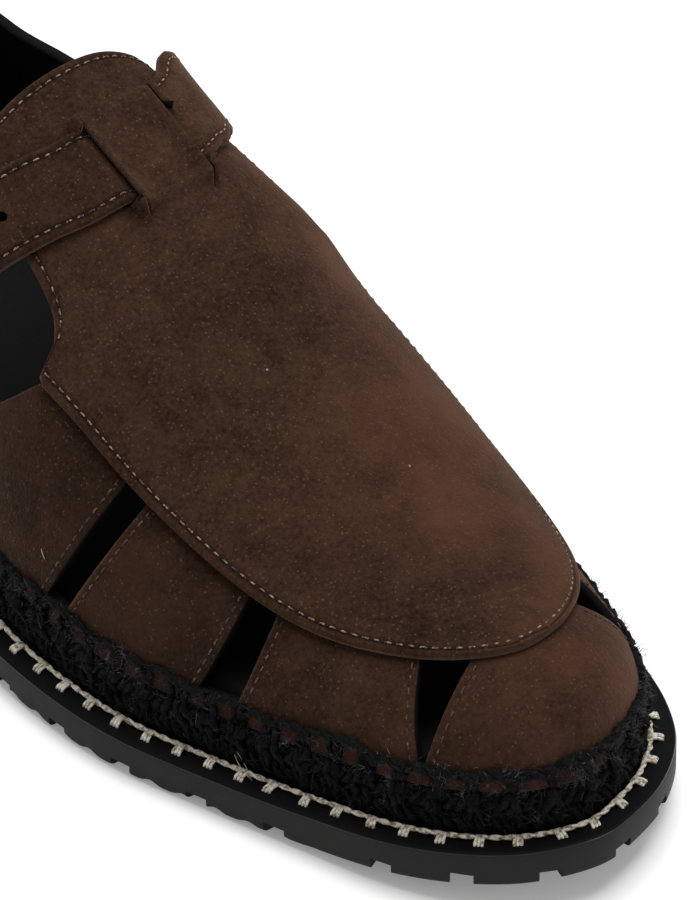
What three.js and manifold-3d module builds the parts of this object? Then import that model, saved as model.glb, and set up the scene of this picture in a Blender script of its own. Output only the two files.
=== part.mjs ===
// A right espadrille of suede on a braided jute midsole and a rubber outsole, in millimetres.
// The toe points to -Y, the outer (lateral) side to -X, and the sole stands on z = 0.
import * as THREE from 'three';
import { mergeVertices } from 'three/addons/utils/BufferGeometryUtils.js';
import Module from 'manifold-3d';

// Sole
const LENGTH = 300;
const BALL_WIDTH = 109;
const OUTSOLE = 8;
const JUTE = 10;
const HEEL_RISE = 4;
const TOE_SPRING = 7;
const LEDGE = 6.3;
const ROPE_BULGE = 0.9;
const LUG_DEPTH = 2.5;
const LUG_GROOVE = 4.5;
const LUG_PITCH = 17;
const INSOLE = 4;

// Upper
const INSTEP = 77;
const COLLAR = 40;
const WALL = 2.2;
const SKIN_INSET = 7;
const APRON_HALF = 36;
const APRON_THICK = 1.8;
const APRON_LAP = 8;
const CUT_UNDER = 3;

// Strap
const STRAP_WIDTH = 18.4;
const STRAP_THICK = 2;
const STRAP_FLARE = 1.4;
const SLOT_WIDTH = 3.4;
const BRIDGE_SINK = 1;

// Clearances between pieces that meet
const CLEAR = 0.3;
const CURVED_CLEAR = 0.35;
const BRIDGE_CLEAR = 0.7;

// How finely the solids are cut into facets
const RING_STEPS = 3;
const DENSE_STEPS = 24;
const BELT_ROWS = 5;
const APRON_COLUMNS = 12;

// Outline of the outsole: half widths are shares of the ball width
const OUTLINE = [
  { along: 0.000, lateral: 0.037, medial: -0.037 },
  { along: 0.004, lateral: 0.097, medial: 0.018 },
  { along: 0.020, lateral: 0.184, medial: 0.125 },
  { along: 0.050, lateral: 0.264, medial: 0.226 },
  { along: 0.090, lateral: 0.331, medial: 0.294 },
  { along: 0.150, lateral: 0.394, medial: 0.349 },
  { along: 0.220, lateral: 0.461, medial: 0.392 },
  { along: 0.290, lateral: 0.523, medial: 0.420 },
  { along: 0.350, lateral: 0.546, medial: 0.436 },
  { along: 0.420, lateral: 0.545, medial: 0.434 },
  { along: 0.500, lateral: 0.507, medial: 0.402 },
  { along: 0.600, lateral: 0.452, medial: 0.363 },
  { along: 0.700, lateral: 0.406, medial: 0.342 },
  { along: 0.800, lateral: 0.372, medial: 0.334 },
  { along: 0.880, lateral: 0.337, medial: 0.319 },
  { along: 0.940, lateral: 0.271, medial: 0.262 },
  { along: 0.980, lateral: 0.167, medial: 0.163 },
  { along: 0.996, lateral: 0.071, medial: 0.071 },
  { along: 1.000, lateral: 0.000, medial: 0.000 },
];

// Sections of the last: ridge height is a share of the instep, its place a share of the ball width,
// and the powers say how full the lateral side, the medial side and the crown are
const SECTIONS = [
  { along: 0.0233, height: 0.000, place: -0.028, lateral: 2.00, medial: 2.0, crown: 2.0 },
  { along: 0.0333, height: 0.130, place: -0.026, lateral: 2.00, medial: 2.0, crown: 2.0 },
  { along: 0.0500, height: 0.201, place: -0.022, lateral: 2.00, medial: 2.0, crown: 2.0 },
  { along: 0.0833, height: 0.256, place: -0.015, lateral: 2.00, medial: 2.0, crown: 2.0 },
  { along: 0.1333, height: 0.298, place: -0.006, lateral: 2.00, medial: 2.0, crown: 2.0 },
  { along: 0.2000, height: 0.351, place: 0.000, lateral: 2.00, medial: 1.95, crown: 1.9 },
  { along: 0.2667, height: 0.427, place: 0.000, lateral: 2.00, medial: 1.92, crown: 1.9 },
  { along: 0.3333, height: 0.530, place: 0.000, lateral: 2.00, medial: 1.92, crown: 1.9 },
  { along: 0.4000, height: 0.647, place: 0.000, lateral: 2.00, medial: 2.0, crown: 1.9 },
  { along: 0.4667, height: 0.752, place: 0.008, lateral: 2.05, medial: 2.7, crown: 1.9 },
  { along: 0.5333, height: 0.855, place: 0.004, lateral: 2.15, medial: 2.4, crown: 1.9 },
  { along: 0.6000, height: 0.968, place: 0.000, lateral: 2.30, medial: 2.2, crown: 1.9 },
  { along: 0.7000, height: 1.234, place: 0.000, lateral: 2.60, medial: 2.6, crown: 2.0 },
  { along: 1.0000, height: 1.234, place: 0.000, lateral: 2.60, medial: 2.6, crown: 2.0 },
];

// Top edge of the quarters behind the apron: height over the midsole as a share of the collar
const TOPLINE = [
  { along: 0.446, height: 0.935 },
  { along: 0.470, height: 0.755 },
  { along: 0.500, height: 0.580 },
  { along: 0.533, height: 0.488 },
  { along: 0.567, height: 0.540 },
  { along: 0.600, height: 0.725 },
  { along: 0.633, height: 0.910 },
  { along: 0.667, height: 0.975 },
  { along: 0.720, height: 0.925 },
  { along: 0.783, height: 0.850 },
  { along: 0.850, height: 0.870 },
  { along: 0.917, height: 1.020 },
  { along: 1.000, height: 1.130 },
];

// Free edges of the apron behind the vamp, as shares of its half width from its middle line
const TAB = [
  { along: 0.4460, lateral: 0.990, medial: 1.028 },
  { along: 0.4515, lateral: 0.850, medial: 0.930 },
  { along: 0.4680, lateral: 0.765, medial: 0.889 },
  { along: 0.5000, lateral: 0.712, medial: 0.790 },
  { along: 0.5330, lateral: 0.685, medial: 0.722 },
  { along: 0.5600, lateral: 0.667, medial: 0.630 },
  { along: 0.5740, lateral: 0.620, medial: 0.540 },
  { along: 0.5820, lateral: 0.470, medial: 0.400 },
];

// Cut-outs of the vamp: turn is the angle round the last, from 0 at the lateral feather edge
// through 90 at the ridge to 180 at the medial feather edge
const CUTOUTS = [
  { frontTop: [0.3357, 44.5], backTop: [0.3555, 44.0], backFoot: [0.3785, 9.5], frontFoot: [0.3570, 10.5] },
  { frontTop: [0.2267, 44.5], backTop: [0.2475, 43.5], backFoot: [0.2475, 11.5], frontFoot: [0.2195, 13] },
  { frontTop: [0.1067, 65.5], backTop: [0.1345, 56.5], backFoot: [0.0920, 11], frontFoot: [0.0890, 11.5] },
  { frontTop: [0.1150, 128], backTop: [0.1540, 139], backFoot: [0.1120, 167], frontFoot: [0.1060, 167] },
  { frontTop: [0.2370, 136], backTop: [0.2550, 137], backFoot: [0.2600, 168], frontFoot: [0.2360, 168] },
  { frontTop: [0.3430, 136], backTop: [0.3620, 137], backFoot: [0.3840, 169], frontFoot: [0.3630, 168] },
];

// Route of the strap round the instep, from its tip on the lateral quarter to its end on the medial
// one: lift is the height of its inner face over the last and rear what its heel edge stands off
// beyond that, both as shares of the strap's thickness; the band flares with rear
const STRAP_ROUTE = [
  { turn: 14.0, along: 0.700, lift: 0.20, rear: 0.0 },
  { turn: 18.0, along: 0.664, lift: 0.20, rear: 0.0 },
  { turn: 22.0, along: 0.630, lift: 0.20, rear: 0.0 },
  { turn: 26.0, along: 0.603, lift: 0.25, rear: 0.0 },
  { turn: 30.0, along: 0.586, lift: 0.45, rear: 0.0 },
  { turn: 40.0, along: 0.560, lift: 0.95, rear: 0.0 },
  { turn: 50.0, along: 0.542, lift: 1.25, rear: 0.0 },
  { turn: 65.0, along: 0.522, lift: 1.25, rear: 0.0 },
  { turn: 75.0, along: 0.512, lift: 1.25, rear: 0.0 },
  { turn: 90.0, along: 0.5085, lift: 1.25, rear: 0.0 },
  { turn: 108.0, along: 0.526, lift: 1.25, rear: 0.3 },
  { turn: 118.0, along: 0.544, lift: 1.30, rear: 1.1 },
  { turn: 130.0, along: 0.563, lift: 1.40, rear: 1.2 },
  { turn: 140.0, along: 0.584, lift: 1.20, rear: 0.7 },
  { turn: 150.0, along: 0.608, lift: 0.60, rear: 0.0 },
  { turn: 156.0, along: 0.636, lift: 0.25, rear: 0.0 },
  { turn: 160.0, along: 0.667, lift: 0.20, rear: 0.0 },
  { turn: 163.0, along: 0.700, lift: 0.20, rear: 0.0 },
];
const SLOT_LIFT = 1.25;

const wasm = await Module();
wasm.setup();
const shoe = new THREE.Group();

// Value of one column of a table at a place along its first column: a cubic through the rows
// whose slopes are harmonic means, so that it never swings past them
function column(rows, key, at, by = 'along') {
  const last = rows.length - 1;
  if (at <= rows[0][by]) return rows[0][key];
  if (at >= rows[last][by]) return rows[last][key];
  const low = rows.findIndex((row) => row[by] > at) - 1;
  const slope = (n) => (rows[n + 1][key] - rows[n][key]) / (rows[n + 1][by] - rows[n][by]);
  const tangent = (n) => {
    if (n === 0) return slope(0);
    if (n === last) return slope(last - 1);
    const before = slope(n - 1);
    const after = slope(n);
    return before * after <= 0 ? 0 : (2 * before * after) / (before + after);
  };
  const span = rows[low + 1][by] - rows[low][by];
  const s = (at - rows[low][by]) / span;
  const fromLow = rows[low][key] * (1 + 2 * s) * (1 - s) ** 2 + span * tangent(low) * s * (1 - s) ** 2;
  const fromHigh = rows[low + 1][key] * s * s * (3 - 2 * s) - span * tangent(low + 1) * s * s * (1 - s);
  return fromLow + fromHigh;
}

function smooth(value) {
  const s = THREE.MathUtils.clamp(value, 0, 1);
  return s * s * (3 - 2 * s);
}

// Ring of the outsole's outline, moved inwards: toe tip, lateral side, heel, medial side
const outlineCurve = new THREE.CatmullRomCurve3(
  [
    ...OUTLINE.map((row) => new THREE.Vector3(-row.lateral * BALL_WIDTH, row.along * LENGTH, 0)),
    ...OUTLINE.slice(1, -1).reverse().map(
      (row) => new THREE.Vector3(row.medial * BALL_WIDTH, row.along * LENGTH, 0),
    ),
  ],
  true,
  'centripetal',
);

function ring(inset, steps = RING_STEPS) {
  const count = 2 * (OUTLINE.length - 1) * steps;
  const points = [];
  for (let n = 0; n < count; n += 1) points.push(outlineCurve.getPoint(n / count));
  return points.map((point, n) => {
    const before = points[(n + count - 1) % count];
    const after = points[(n + 1) % count];
    const inward = new THREE.Vector3(before.y - after.y, after.x - before.x, 0).normalize();
    return point.clone().addScaledVector(inward, -inset);
  });
}

// The two sides of the feather line, each as places along the shoe and half widths
const skinRing = ring(SKIN_INSET, DENSE_STEPS);
const skinHalf = skinRing.length / 2;
const SKIN_SIDES = {
  lateral: skinRing.slice(0, skinHalf + 1),
  medial: [skinRing[0], ...skinRing.slice(skinHalf).reverse()],
};
const SKIN_TOE = Math.min(...skinRing.map((point) => point.y));
const SKIN_HEEL = Math.max(...skinRing.map((point) => point.y));

function sideAt(side, t) {
  const line = SKIN_SIDES[side];
  const at = THREE.MathUtils.clamp(t, SKIN_TOE, SKIN_HEEL);
  const high = Math.max(1, line.findIndex((point) => point.y >= at));
  const from = line[high - 1];
  const to = line[high];
  const share = to.y === from.y ? 1 : THREE.MathUtils.clamp((at - from.y) / (to.y - from.y), 0, 1);
  return from.x + (to.x - from.x) * share;
}

// Heights of the underside and of the top of the midsole, where the upper's feather edge sits
const SPRING_END = 0.25 * LENGTH;
const RISE_START = 0.3 * LENGTH;
const RISE_LENGTH = 0.567 * LENGTH;

function underside(t) {
  return TOE_SPRING * Math.max(0, 1 - t / SPRING_END) ** 2;
}

function midsoleTop(t) {
  return underside(t) + OUTSOLE + JUTE + HEEL_RISE * smooth((t - RISE_START) / RISE_LENGTH);
}

// Back curve of the heel: it bulges over the sole's edge and leans in towards the collar
const HEEL_START = 0.767 * LENGTH;
const HEEL_BULGE = 0.14;
const HEEL_LEAN = 0.16;

function heelShift(t, height) {
  const share = smooth((t - HEEL_START) / (SKIN_HEEL - HEEL_START));
  return share * height * (HEEL_BULGE - (HEEL_LEAN * height) / COLLAR);
}

// Angle round the last at a place across it, and at a height over the midsole
function turnAtPlace(t, x) {
  const ridge = column(SECTIONS, 'place', t / LENGTH) * BALL_WIDTH;
  const side = x < ridge ? 'lateral' : 'medial';
  const share = THREE.MathUtils.clamp((x - ridge) / (sideAt(side, t) - ridge), 0, 1);
  const angle = Math.acos(share ** (column(SECTIONS, side, t / LENGTH) / 2));
  return side === 'lateral' ? angle : Math.PI - angle;
}

function turnAtHeight(t, height) {
  const share = height / (column(SECTIONS, 'height', t / LENGTH) * INSTEP);
  return Math.asin(Math.min(1, share ** (column(SECTIONS, 'crown', t / LENGTH) / 2)));
}

// Point of the last: each section is a superellipse standing on the feather line
function last(t, turn) {
  const along = t / LENGTH;
  const side = turn < Math.PI / 2 ? 'lateral' : 'medial';
  const ridge = column(SECTIONS, 'place', along) * BALL_WIDTH;
  const across = Math.abs(Math.cos(turn)) ** (2 / column(SECTIONS, side, along));
  const up = Math.max(0, Math.sin(turn)) ** (2 / column(SECTIONS, 'crown', along));
  const height = column(SECTIONS, 'height', along) * INSTEP * up;
  return new THREE.Vector3(
    ridge + (sideAt(side, t) - ridge) * across,
    t + heelShift(t, height),
    midsoleTop(t) + CLEAR + height,
  );
}

// Point over the last, lifted along its outward normal
const NORMAL_STEP_T = 0.4;
const NORMAL_STEP_TURN = 0.01;

function over(t, turn, lift) {
  const low = Math.max(turn - NORMAL_STEP_TURN, 0.002);
  const high = Math.min(turn + NORMAL_STEP_TURN, Math.PI - 0.002);
  const along = last(t + NORMAL_STEP_T, turn).sub(last(t - NORMAL_STEP_T, turn));
  const round = last(t, high).sub(last(t, low));
  const normal = round.cross(along).normalize();
  return last(t, turn).addScaledVector(normal, lift);
}

// Closed geometry from a grid of outer points and a grid of inner points of the same size;
// a ring's first and last columns meet
function shell(outer, inner, closed = false) {
  const rows = outer.length;
  const columns = outer[0].length;
  const positions = [outer, inner].flat(2).flatMap((point) => [point.x, point.y, point.z]);
  const index = [];
  const inside = rows * columns;
  const quad = (a, b, c, d) => index.push(a, b, c, a, c, d);
  const wide = closed ? columns : columns - 1;
  for (let r = 0; r < rows; r += 1) {
    for (let c = 0; c < wide; c += 1) {
      const next = (c + 1) % columns;
      const at = r * columns + c;
      const beside = r * columns + next;
      if (r < rows - 1) {
        quad(at, beside, beside + columns, at + columns);
        quad(inside + at, inside + at + columns, inside + beside + columns, inside + beside);
      }
      if (r === 0) quad(at, inside + at, inside + beside, beside);
      if (r === rows - 1) quad(at, beside, inside + beside, inside + at);
    }
    if (!closed && r < rows - 1) {
      const left = r * columns;
      const right = left + columns - 1;
      quad(left, left + columns, inside + left + columns, inside + left);
      quad(right, inside + right, inside + right + columns, right + columns);
    }
  }
  return weld(positions, index);
}

// Slab with stacked rings as its side, each one with its own inset and height
function slab(profile) {
  const rings = profile.map(({ inset, level }) => ring(inset).map((p) => p.setZ(level(p.y))));
  const count = rings[0].length;
  const half = count / 2;
  const positions = rings.flat().flatMap((point) => [point.x, point.y, point.z]);
  const index = [];
  for (let r = 0; r < rings.length - 1; r += 1) {
    for (let n = 0; n < count; n += 1) {
      const next = (n + 1) % count;
      const low = r * count;
      index.push(low + n, low + count + next, low + next, low + n, low + count + n, low + count + next);
    }
  }
  const top = (rings.length - 1) * count;
  for (let n = 0; n < half; n += 1) {
    const lateral = [n, n + 1];
    const medial = [(count - n) % count, count - n - 1];
    index.push(lateral[0], lateral[1], medial[1], lateral[0], medial[1], medial[0]);
    index.push(top + lateral[0], top + medial[1], top + lateral[1]);
    index.push(top + lateral[0], top + medial[0], top + medial[1]);
  }
  return weld(positions, index);
}

// Merged geometry without triangles that have shrunk to a line, its faces turned outwards
function weld(positions, index) {
  const raw = new THREE.BufferGeometry();
  raw.setAttribute('position', new THREE.Float32BufferAttribute(positions, 3));
  raw.setIndex(index);
  const merged = mergeVertices(raw, 1e-3);
  const kept = [];
  const corners = merged.index.array;
  for (let n = 0; n < corners.length; n += 3) {
    const [a, b, c] = [corners[n], corners[n + 1], corners[n + 2]];
    if (a !== b && b !== c && c !== a) kept.push(a, b, c);
  }
  merged.setIndex(kept);
  if (volume(merged) < 0) {
    const turned = [];
    for (let n = 0; n < kept.length; n += 3) turned.push(kept[n], kept[n + 2], kept[n + 1]);
    merged.setIndex(turned);
  }
  return merged;
}

function volume(geometry) {
  const place = geometry.attributes.position;
  const corner = (n) => new THREE.Vector3().fromBufferAttribute(place, geometry.index.array[n]);
  let sum = 0;
  for (let n = 0; n < geometry.index.count; n += 3) {
    sum += corner(n).dot(corner(n + 1).cross(corner(n + 2))) / 6;
  }
  return sum;
}

// Solids for joins and cuts, and back
function toSolid(geometry) {
  const bare = geometry.clone();
  bare.deleteAttribute('normal');
  bare.deleteAttribute('uv');
  const merged = mergeVertices(bare, 1e-3);
  return new wasm.Manifold(new wasm.Mesh({
    numProp: 3,
    vertProperties: new Float32Array(merged.attributes.position.array),
    triVerts: new Uint32Array(merged.index.array),
  }));
}

function toGeometry(solid) {
  const mesh = solid.getMesh();
  const geometry = new THREE.BufferGeometry();
  geometry.setAttribute('position', new THREE.Float32BufferAttribute(mesh.vertProperties, 3));
  geometry.setIndex(Array.from(mesh.triVerts));
  return geometry;
}

function add(name, geometry, colour, roughness, metalness = 0) {
  const material = new THREE.MeshStandardMaterial({ color: colour, roughness, metalness });
  const mesh = new THREE.Mesh(geometry, material);
  mesh.name = name;
  shoe.add(mesh);
}

const SUEDE = 0x4a3126;
const LINING = 0x141414;
const RUBBER = 0x262626;
const YARN = 0x16161a;

// Outsole: a flat rubber slab with sprung toe, its tread cut by grooves
const EDGE_ROUND = 0.8;
const FOOT_ROUND = 1.2;

function outsole() {
  const body = toSolid(slab([
    { inset: FOOT_ROUND, level: underside },
    { inset: 0, level: (t) => underside(t) + FOOT_ROUND },
    { inset: 0, level: (t) => underside(t) + OUTSOLE - EDGE_ROUND },
    { inset: EDGE_ROUND, level: (t) => underside(t) + OUTSOLE },
  ]));
  return toGeometry(treadGrooves().reduce((solid, groove) => solid.subtract(groove), body));
}

// Grooves across the tread behind the toe, and short ones that fan out round the toe
const FAN_CENTRE = 0.16 * LENGTH;
const FAN_ANGLES = [-62, -40, -19, 0, 19, 40, 62];
const FAN_REACH = 0.25 * LENGTH;
const TREAD_START = 0.17 * LENGTH;
const TREAD_END = 0.97 * LENGTH;

function treadGrooves() {
  const grooves = [];
  for (let t = TREAD_START; t < TREAD_END; t += LUG_PITCH) {
    const bar = new THREE.BoxGeometry(2 * BALL_WIDTH, LUG_GROOVE, 2 * LUG_DEPTH);
    bar.translate(0, t, underside(t));
    grooves.push(toSolid(bar));
  }
  for (const angle of FAN_ANGLES) {
    const bar = new THREE.BoxGeometry(LUG_GROOVE, FAN_REACH, 2 * LUG_DEPTH);
    bar.translate(0, -FAN_REACH / 2 - LUG_PITCH, 0);
    const turn = THREE.MathUtils.degToRad(angle);
    bar.rotateX(-Math.atan2(TOE_SPRING * Math.cos(turn), FAN_CENTRE));
    bar.rotateZ(turn);
    bar.translate(0, FAN_CENTRE, 0);
    grooves.push(toSolid(bar));
  }
  return grooves;
}

// Midsole: two turns of braided jute rope laid on the outsole, so its side has two round steps
const ROPES = 2;
const ROPE_FACETS = 3;

function midsole() {
  const levels = ROPES * ROPE_FACETS;
  const profile = [];
  for (let n = 0; n <= levels; n += 1) {
    const share = n / levels;
    const bulge = Math.abs(Math.sin(Math.PI * ROPES * share));
    const foot = (t) => underside(t) + OUTSOLE + CLEAR;
    profile.push({
      inset: LEDGE + ROPE_BULGE * (1 - bulge),
      level: (t) => foot(t) + (midsoleTop(t) - foot(t)) * share,
    });
  }
  return slab(profile);
}

// Insole: a thin footbed inside the upper, its top edge sloped to clear the leaning wall
const INSOLE_INSET = SKIN_INSET + WALL + 1.1;
const INSOLE_SLOPE = 1.6;

function insole() {
  const bed = (share) => (t) => midsoleTop(t) + CLEAR + INSOLE * share;
  return slab([
    { inset: INSOLE_INSET, level: bed(0) },
    { inset: INSOLE_INSET, level: bed(0.4) },
    { inset: INSOLE_INSET + INSOLE_SLOPE, level: bed(1) },
  ]);
}

// Plan of the apron's edge: a long round toe, straight sides and a narrower tab behind the vamp
const APRON_TIP = 0.0897 * LENGTH;
const APRON_MIDDLE = -0.0183 * BALL_WIDTH;
const APRON_ROUND = {
  lateral: { length: 0.3 * LENGTH, power: 0.55 },
  medial: { length: 0.233 * LENGTH, power: 0.5 },
};
const VAMP_END = TAB[0].along * LENGTH;

function apronEdge(side, t, inset = 0) {
  const out = side === 'lateral' ? -1 : 1;
  if (t > VAMP_END) return APRON_MIDDLE + out * column(TAB, side, t / LENGTH) * APRON_HALF;
  const { length, power } = APRON_ROUND[side];
  const share = THREE.MathUtils.clamp((t - APRON_TIP - inset) / length, 0, 1);
  const full = APRON_HALF * TAB[0][side] - inset;
  return APRON_MIDDLE + out * full * (1 - (1 - share) ** 2) ** power;
}

// Upper: a belt of suede round the last, from the feather line up to the topline, or in front up to
// a lap under the apron, with the vamp's cut-outs through it
const LAP_END = 0.08 * LENGTH;

function beltPoint(foot, share) {
  const side = foot.medial ? 'medial' : 'lateral';
  const t = THREE.MathUtils.clamp(foot.y, SKIN_TOE, SKIN_HEEL);
  if (t >= VAMP_END) {
    const turn = turnAtHeight(t, column(TOPLINE, 'height', t / LENGTH) * COLLAR) * share;
    return { t, turn: side === 'lateral' ? turn : Math.PI - turn };
  }
  const left = 1 - (t - SKIN_TOE) / (VAMP_END - SKIN_TOE);
  const lap = APRON_LAP * smooth((VAMP_END - t) / LAP_END);
  const lapTip = APRON_TIP + APRON_LAP;
  const lapT = t + (lapTip - SKIN_TOE) * left ** 2;
  const lapX = apronEdge(side, Math.max(lapT, lapTip), lap);
  const part = share ** 2;
  const at = t + (lapT - t) * part;
  const x = foot.x + (lapX - foot.x) * part;
  return { t: at, turn: turnAtPlace(at, x) };
}

function belt() {
  const feet = ring(SKIN_INSET).map((point, n, all) => {
    point.medial = n > all.length / 2;
    return point;
  });
  const outer = [];
  for (let r = 0; r <= BELT_ROWS; r += 1) {
    outer.push(feet.map((foot) => {
      const { t, turn } = beltPoint(foot, r / BELT_ROWS);
      return last(t, turn);
    }));
  }
  return shell(outer, inwards(outer, WALL), true);
}

// Grid moved inwards along its own normals, which are means of the quads round each point
function inwards(grid, depth) {
  const rows = grid.length;
  const count = grid[0].length;
  return grid.map((row, r) => row.map((point, c) => {
    const up = grid[Math.min(r + 1, rows - 1)][c].clone().sub(grid[Math.max(r - 1, 0)][c]);
    const along = row[(c + 1) % count].clone().sub(row[(c + count - 1) % count]);
    const normal = up.cross(along).normalize();
    if (r === 0) normal.setZ(0).normalize();
    return point.clone().addScaledVector(normal, -depth);
  }));
}

function upper() {
  return toGeometry(CUTOUTS.reduce((solid, cut) => solid.subtract(cutter(cut)), toSolid(belt())));
}

// Thick patch of the last between four corners, each given as along and turn
const CUTTER_OUT = 1.5;
const CUTTER_IN = 6;
const CUTTER_STEPS = 5;
const CUT_BOW = 0.005;

function cutter({ frontTop, backTop, backFoot, frontFoot }) {
  const grid = (lift) => {
    const rows = [];
    for (let r = 0; r <= CUTTER_STEPS; r += 1) {
      const down = r / CUTTER_STEPS;
      rows.push([[frontTop, frontFoot], [backTop, backFoot]].map(([top, foot]) => {
        const reach = top[1] < 90 ? CUT_UNDER * (1 - down) : -CUT_UNDER * (1 - down);
        const turn = top[1] + (foot[1] - top[1]) * down + reach;
        const along = top[0] + (foot[0] - top[0]) * down - CUT_BOW * 4 * down * (1 - down);
        return over(along * LENGTH, THREE.MathUtils.degToRad(turn), lift);
      }));
    }
    return rows;
  };
  return toSolid(shell(grid(CUTTER_OUT), grid(-CUTTER_IN)));
}

// Places along the apron at which it is cut into rows, closer at its tip and at its corners
const APRON_ROWS = [
  0, 0.001, 0.004, 0.010, 0.018, 0.030, 0.046, 0.066, 0.090, 0.117, 0.145, 0.175, 0.205, 0.235,
  0.265, 0.295, 0.325, 0.348, 0.3578, 0.3618, 0.3783, 0.395, 0.4103, 0.428, 0.4433, 0.458, 0.4703,
  0.4843, 0.4923,
];

// Apron: the plug that covers the instep and ends in a tab, its lap lying on the vamp
function apron() {
  const plate = (lift) => APRON_ROWS.map((row) => {
    const t = APRON_TIP + row * LENGTH;
    return apronRow(t, apronEdge('lateral', t), apronEdge('medial', t), APRON_COLUMNS, () => lift);
  });
  const whole = toSolid(shell(plate(CURVED_CLEAR + APRON_THICK), plate(CURVED_CLEAR)));
  return toGeometry(whole.subtract(bridgeWindow()).add(bridge()));
}

// Its columns stand closer towards both edges
const EDGE_CROWDING = 0.6;

function apronRow(t, from, to, columns, lift) {
  const row = [];
  for (let c = 0; c <= columns; c += 1) {
    const even = c / columns;
    const share = even + (0.5 - even - Math.cos(Math.PI * even) / 2) * EDGE_CROWDING;
    const x = from + (to - from) * share;
    row.push(over(t, turnAtPlace(t, x), lift(x)));
  }
  return row;
}

// The two slots that the strap passes through, and the bridge of the apron between them
const SLOTS = {
  front: { along: 0.468, lateral: -0.070, medial: 0.095 },
  back: { along: 0.551, lateral: -0.083, medial: 0.082 },
};
const BRIDGE_ROWS = 12;
const BRIDGE_COLUMNS = 5;
const BRIDGE_SHOULDER = 0.09;
const BRIDGE_ROOT = 0.02;

function slotPlace(side, share) {
  const { front, back } = SLOTS;
  return (front[side] + (back[side] - front[side]) * share) * BALL_WIDTH;
}

function slotRun(share) {
  const { front, back } = SLOTS;
  return (front.along + (back.along - front.along) * share) * LENGTH;
}

// Height of the strap's inner face over the last: it dips under the bridge
function strapLift(t, x, route) {
  const share = (t / LENGTH - SLOTS.front.along) / (SLOTS.back.along - SLOTS.front.along);
  const reach = 1.6 * SLOT_WIDTH;
  const start = 0.2 * SLOT_WIDTH;
  const fromLateral = smooth((x - slotPlace('lateral', share) + start) / reach);
  const fromMedial = smooth((slotPlace('medial', share) + start - x) / reach);
  const dip = Math.min(fromLateral, fromMedial);
  return route * STRAP_THICK * (1 - dip) - BRIDGE_SINK * dip;
}

function bridgeWindow() {
  const grid = (lift) => {
    const rows = [];
    for (let r = 0; r <= BRIDGE_ROWS; r += 1) {
      const share = r / BRIDGE_ROWS;
      const from = slotPlace('lateral', share) - SLOT_WIDTH / 2;
      const to = slotPlace('medial', share) + SLOT_WIDTH / 2;
      rows.push(apronRow(slotRun(share), from, to, BRIDGE_COLUMNS, () => lift));
    }
    return rows;
  };
  return toSolid(shell(grid(2 * STRAP_THICK), grid(-2 * STRAP_THICK)));
}

function bridge() {
  const grid = (rise) => {
    const rows = [];
    for (let r = 0; r <= BRIDGE_ROWS; r += 1) {
      const share = -BRIDGE_ROOT + (r / BRIDGE_ROWS) * (1 + 2 * BRIDGE_ROOT);
      const t = slotRun(share);
      const raised = smooth(Math.min(share, 1 - share) / BRIDGE_SHOULDER);
      const from = slotPlace('lateral', share) + SLOT_WIDTH / 2;
      const to = slotPlace('medial', share) - SLOT_WIDTH / 2;
      rows.push(apronRow(t, from, to, 2 * BRIDGE_COLUMNS, (x) => {
        const strapTop = strapLift(t, x, SLOT_LIFT) + STRAP_THICK + BRIDGE_CLEAR;
        return CURVED_CLEAR + raised * Math.max(0, strapTop - CURVED_CLEAR) + rise;
      }));
    }
    return rows;
  };
  return toSolid(shell(grid(APRON_THICK), grid(0)));
}

// Strap: a band of two layers that crosses the instep through the slots; its cross lines run along
// the shoe, and its half width along them keeps its true width square to the route
const STRAP_STEP = 3.2;
const SLOT_ZONE = 0.18 * BALL_WIDTH;
const STRAP_COLUMNS = 4;
const TIP_TAPER = 9;
const TIP_FLAT = 0.6;

function routeAt(turn) {
  return { t: column(STRAP_ROUTE, 'along', turn, 'turn') * LENGTH, turn: THREE.MathUtils.degToRad(turn) };
}

function strapTurns() {
  const [first, end] = [STRAP_ROUTE[0].turn, STRAP_ROUTE[STRAP_ROUTE.length - 1].turn];
  const turns = [first];
  const spot = (turn) => {
    const place = routeAt(turn);
    return last(place.t, place.turn);
  };
  const fine = 0.05;
  let before = spot(first);
  for (let turn = first + fine; turn < end; turn += fine) {
    const here = spot(turn);
    const step = Math.abs(here.x) < SLOT_ZONE ? STRAP_STEP / 2 : STRAP_STEP;
    if (here.distanceTo(before) >= step) {
      turns.push(turn);
      before = here;
    }
  }
  turns.push(end);
  return turns;
}

function strapHalf(turn) {
  const place = routeAt(turn);
  const ahead = routeAt(turn + 0.5);
  const path = last(ahead.t, ahead.turn).sub(last(place.t, place.turn)).normalize();
  const lengthwise = last(place.t + 1, place.turn).sub(last(place.t, place.turn));
  const square = path.cross(lengthwise).length();
  return STRAP_WIDTH / 2 / Math.max(square, 0.4);
}

function strapGrid(rise) {
  const turns = strapTurns();
  const ends = [turns[0], turns[turns.length - 1]].map((turn) => {
    const place = routeAt(turn);
    return last(place.t, place.turn);
  });
  return turns.map((turn) => {
    const place = routeAt(turn);
    const spot = last(place.t, place.turn);
    const fromTip = Math.min(...ends.map((end) => spot.distanceTo(end)));
    const taper = Math.sqrt(1 - (1 - Math.min(1, (fromTip + TIP_FLAT) / TIP_TAPER)) ** 2);
    const half = strapHalf(turn) * taper;
    const route = column(STRAP_ROUTE, 'lift', turn, 'turn');
    const rear = column(STRAP_ROUTE, 'rear', turn, 'turn');
    const row = [];
    for (let c = 0; c <= STRAP_COLUMNS; c += 1) {
      const across = c / STRAP_COLUMNS;
      const t = place.t + half * (2 * across - 1) + rear * STRAP_FLARE * across;
      const x = last(t, place.turn).x;
      row.push(over(t, place.turn, strapLift(t, x, route + rear * across) + rise));
    }
    return row;
  });
}

function strap() {
  const band = toSolid(shell(strapGrid(STRAP_THICK), strapGrid(0)));
  return toGeometry(band);
}

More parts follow.
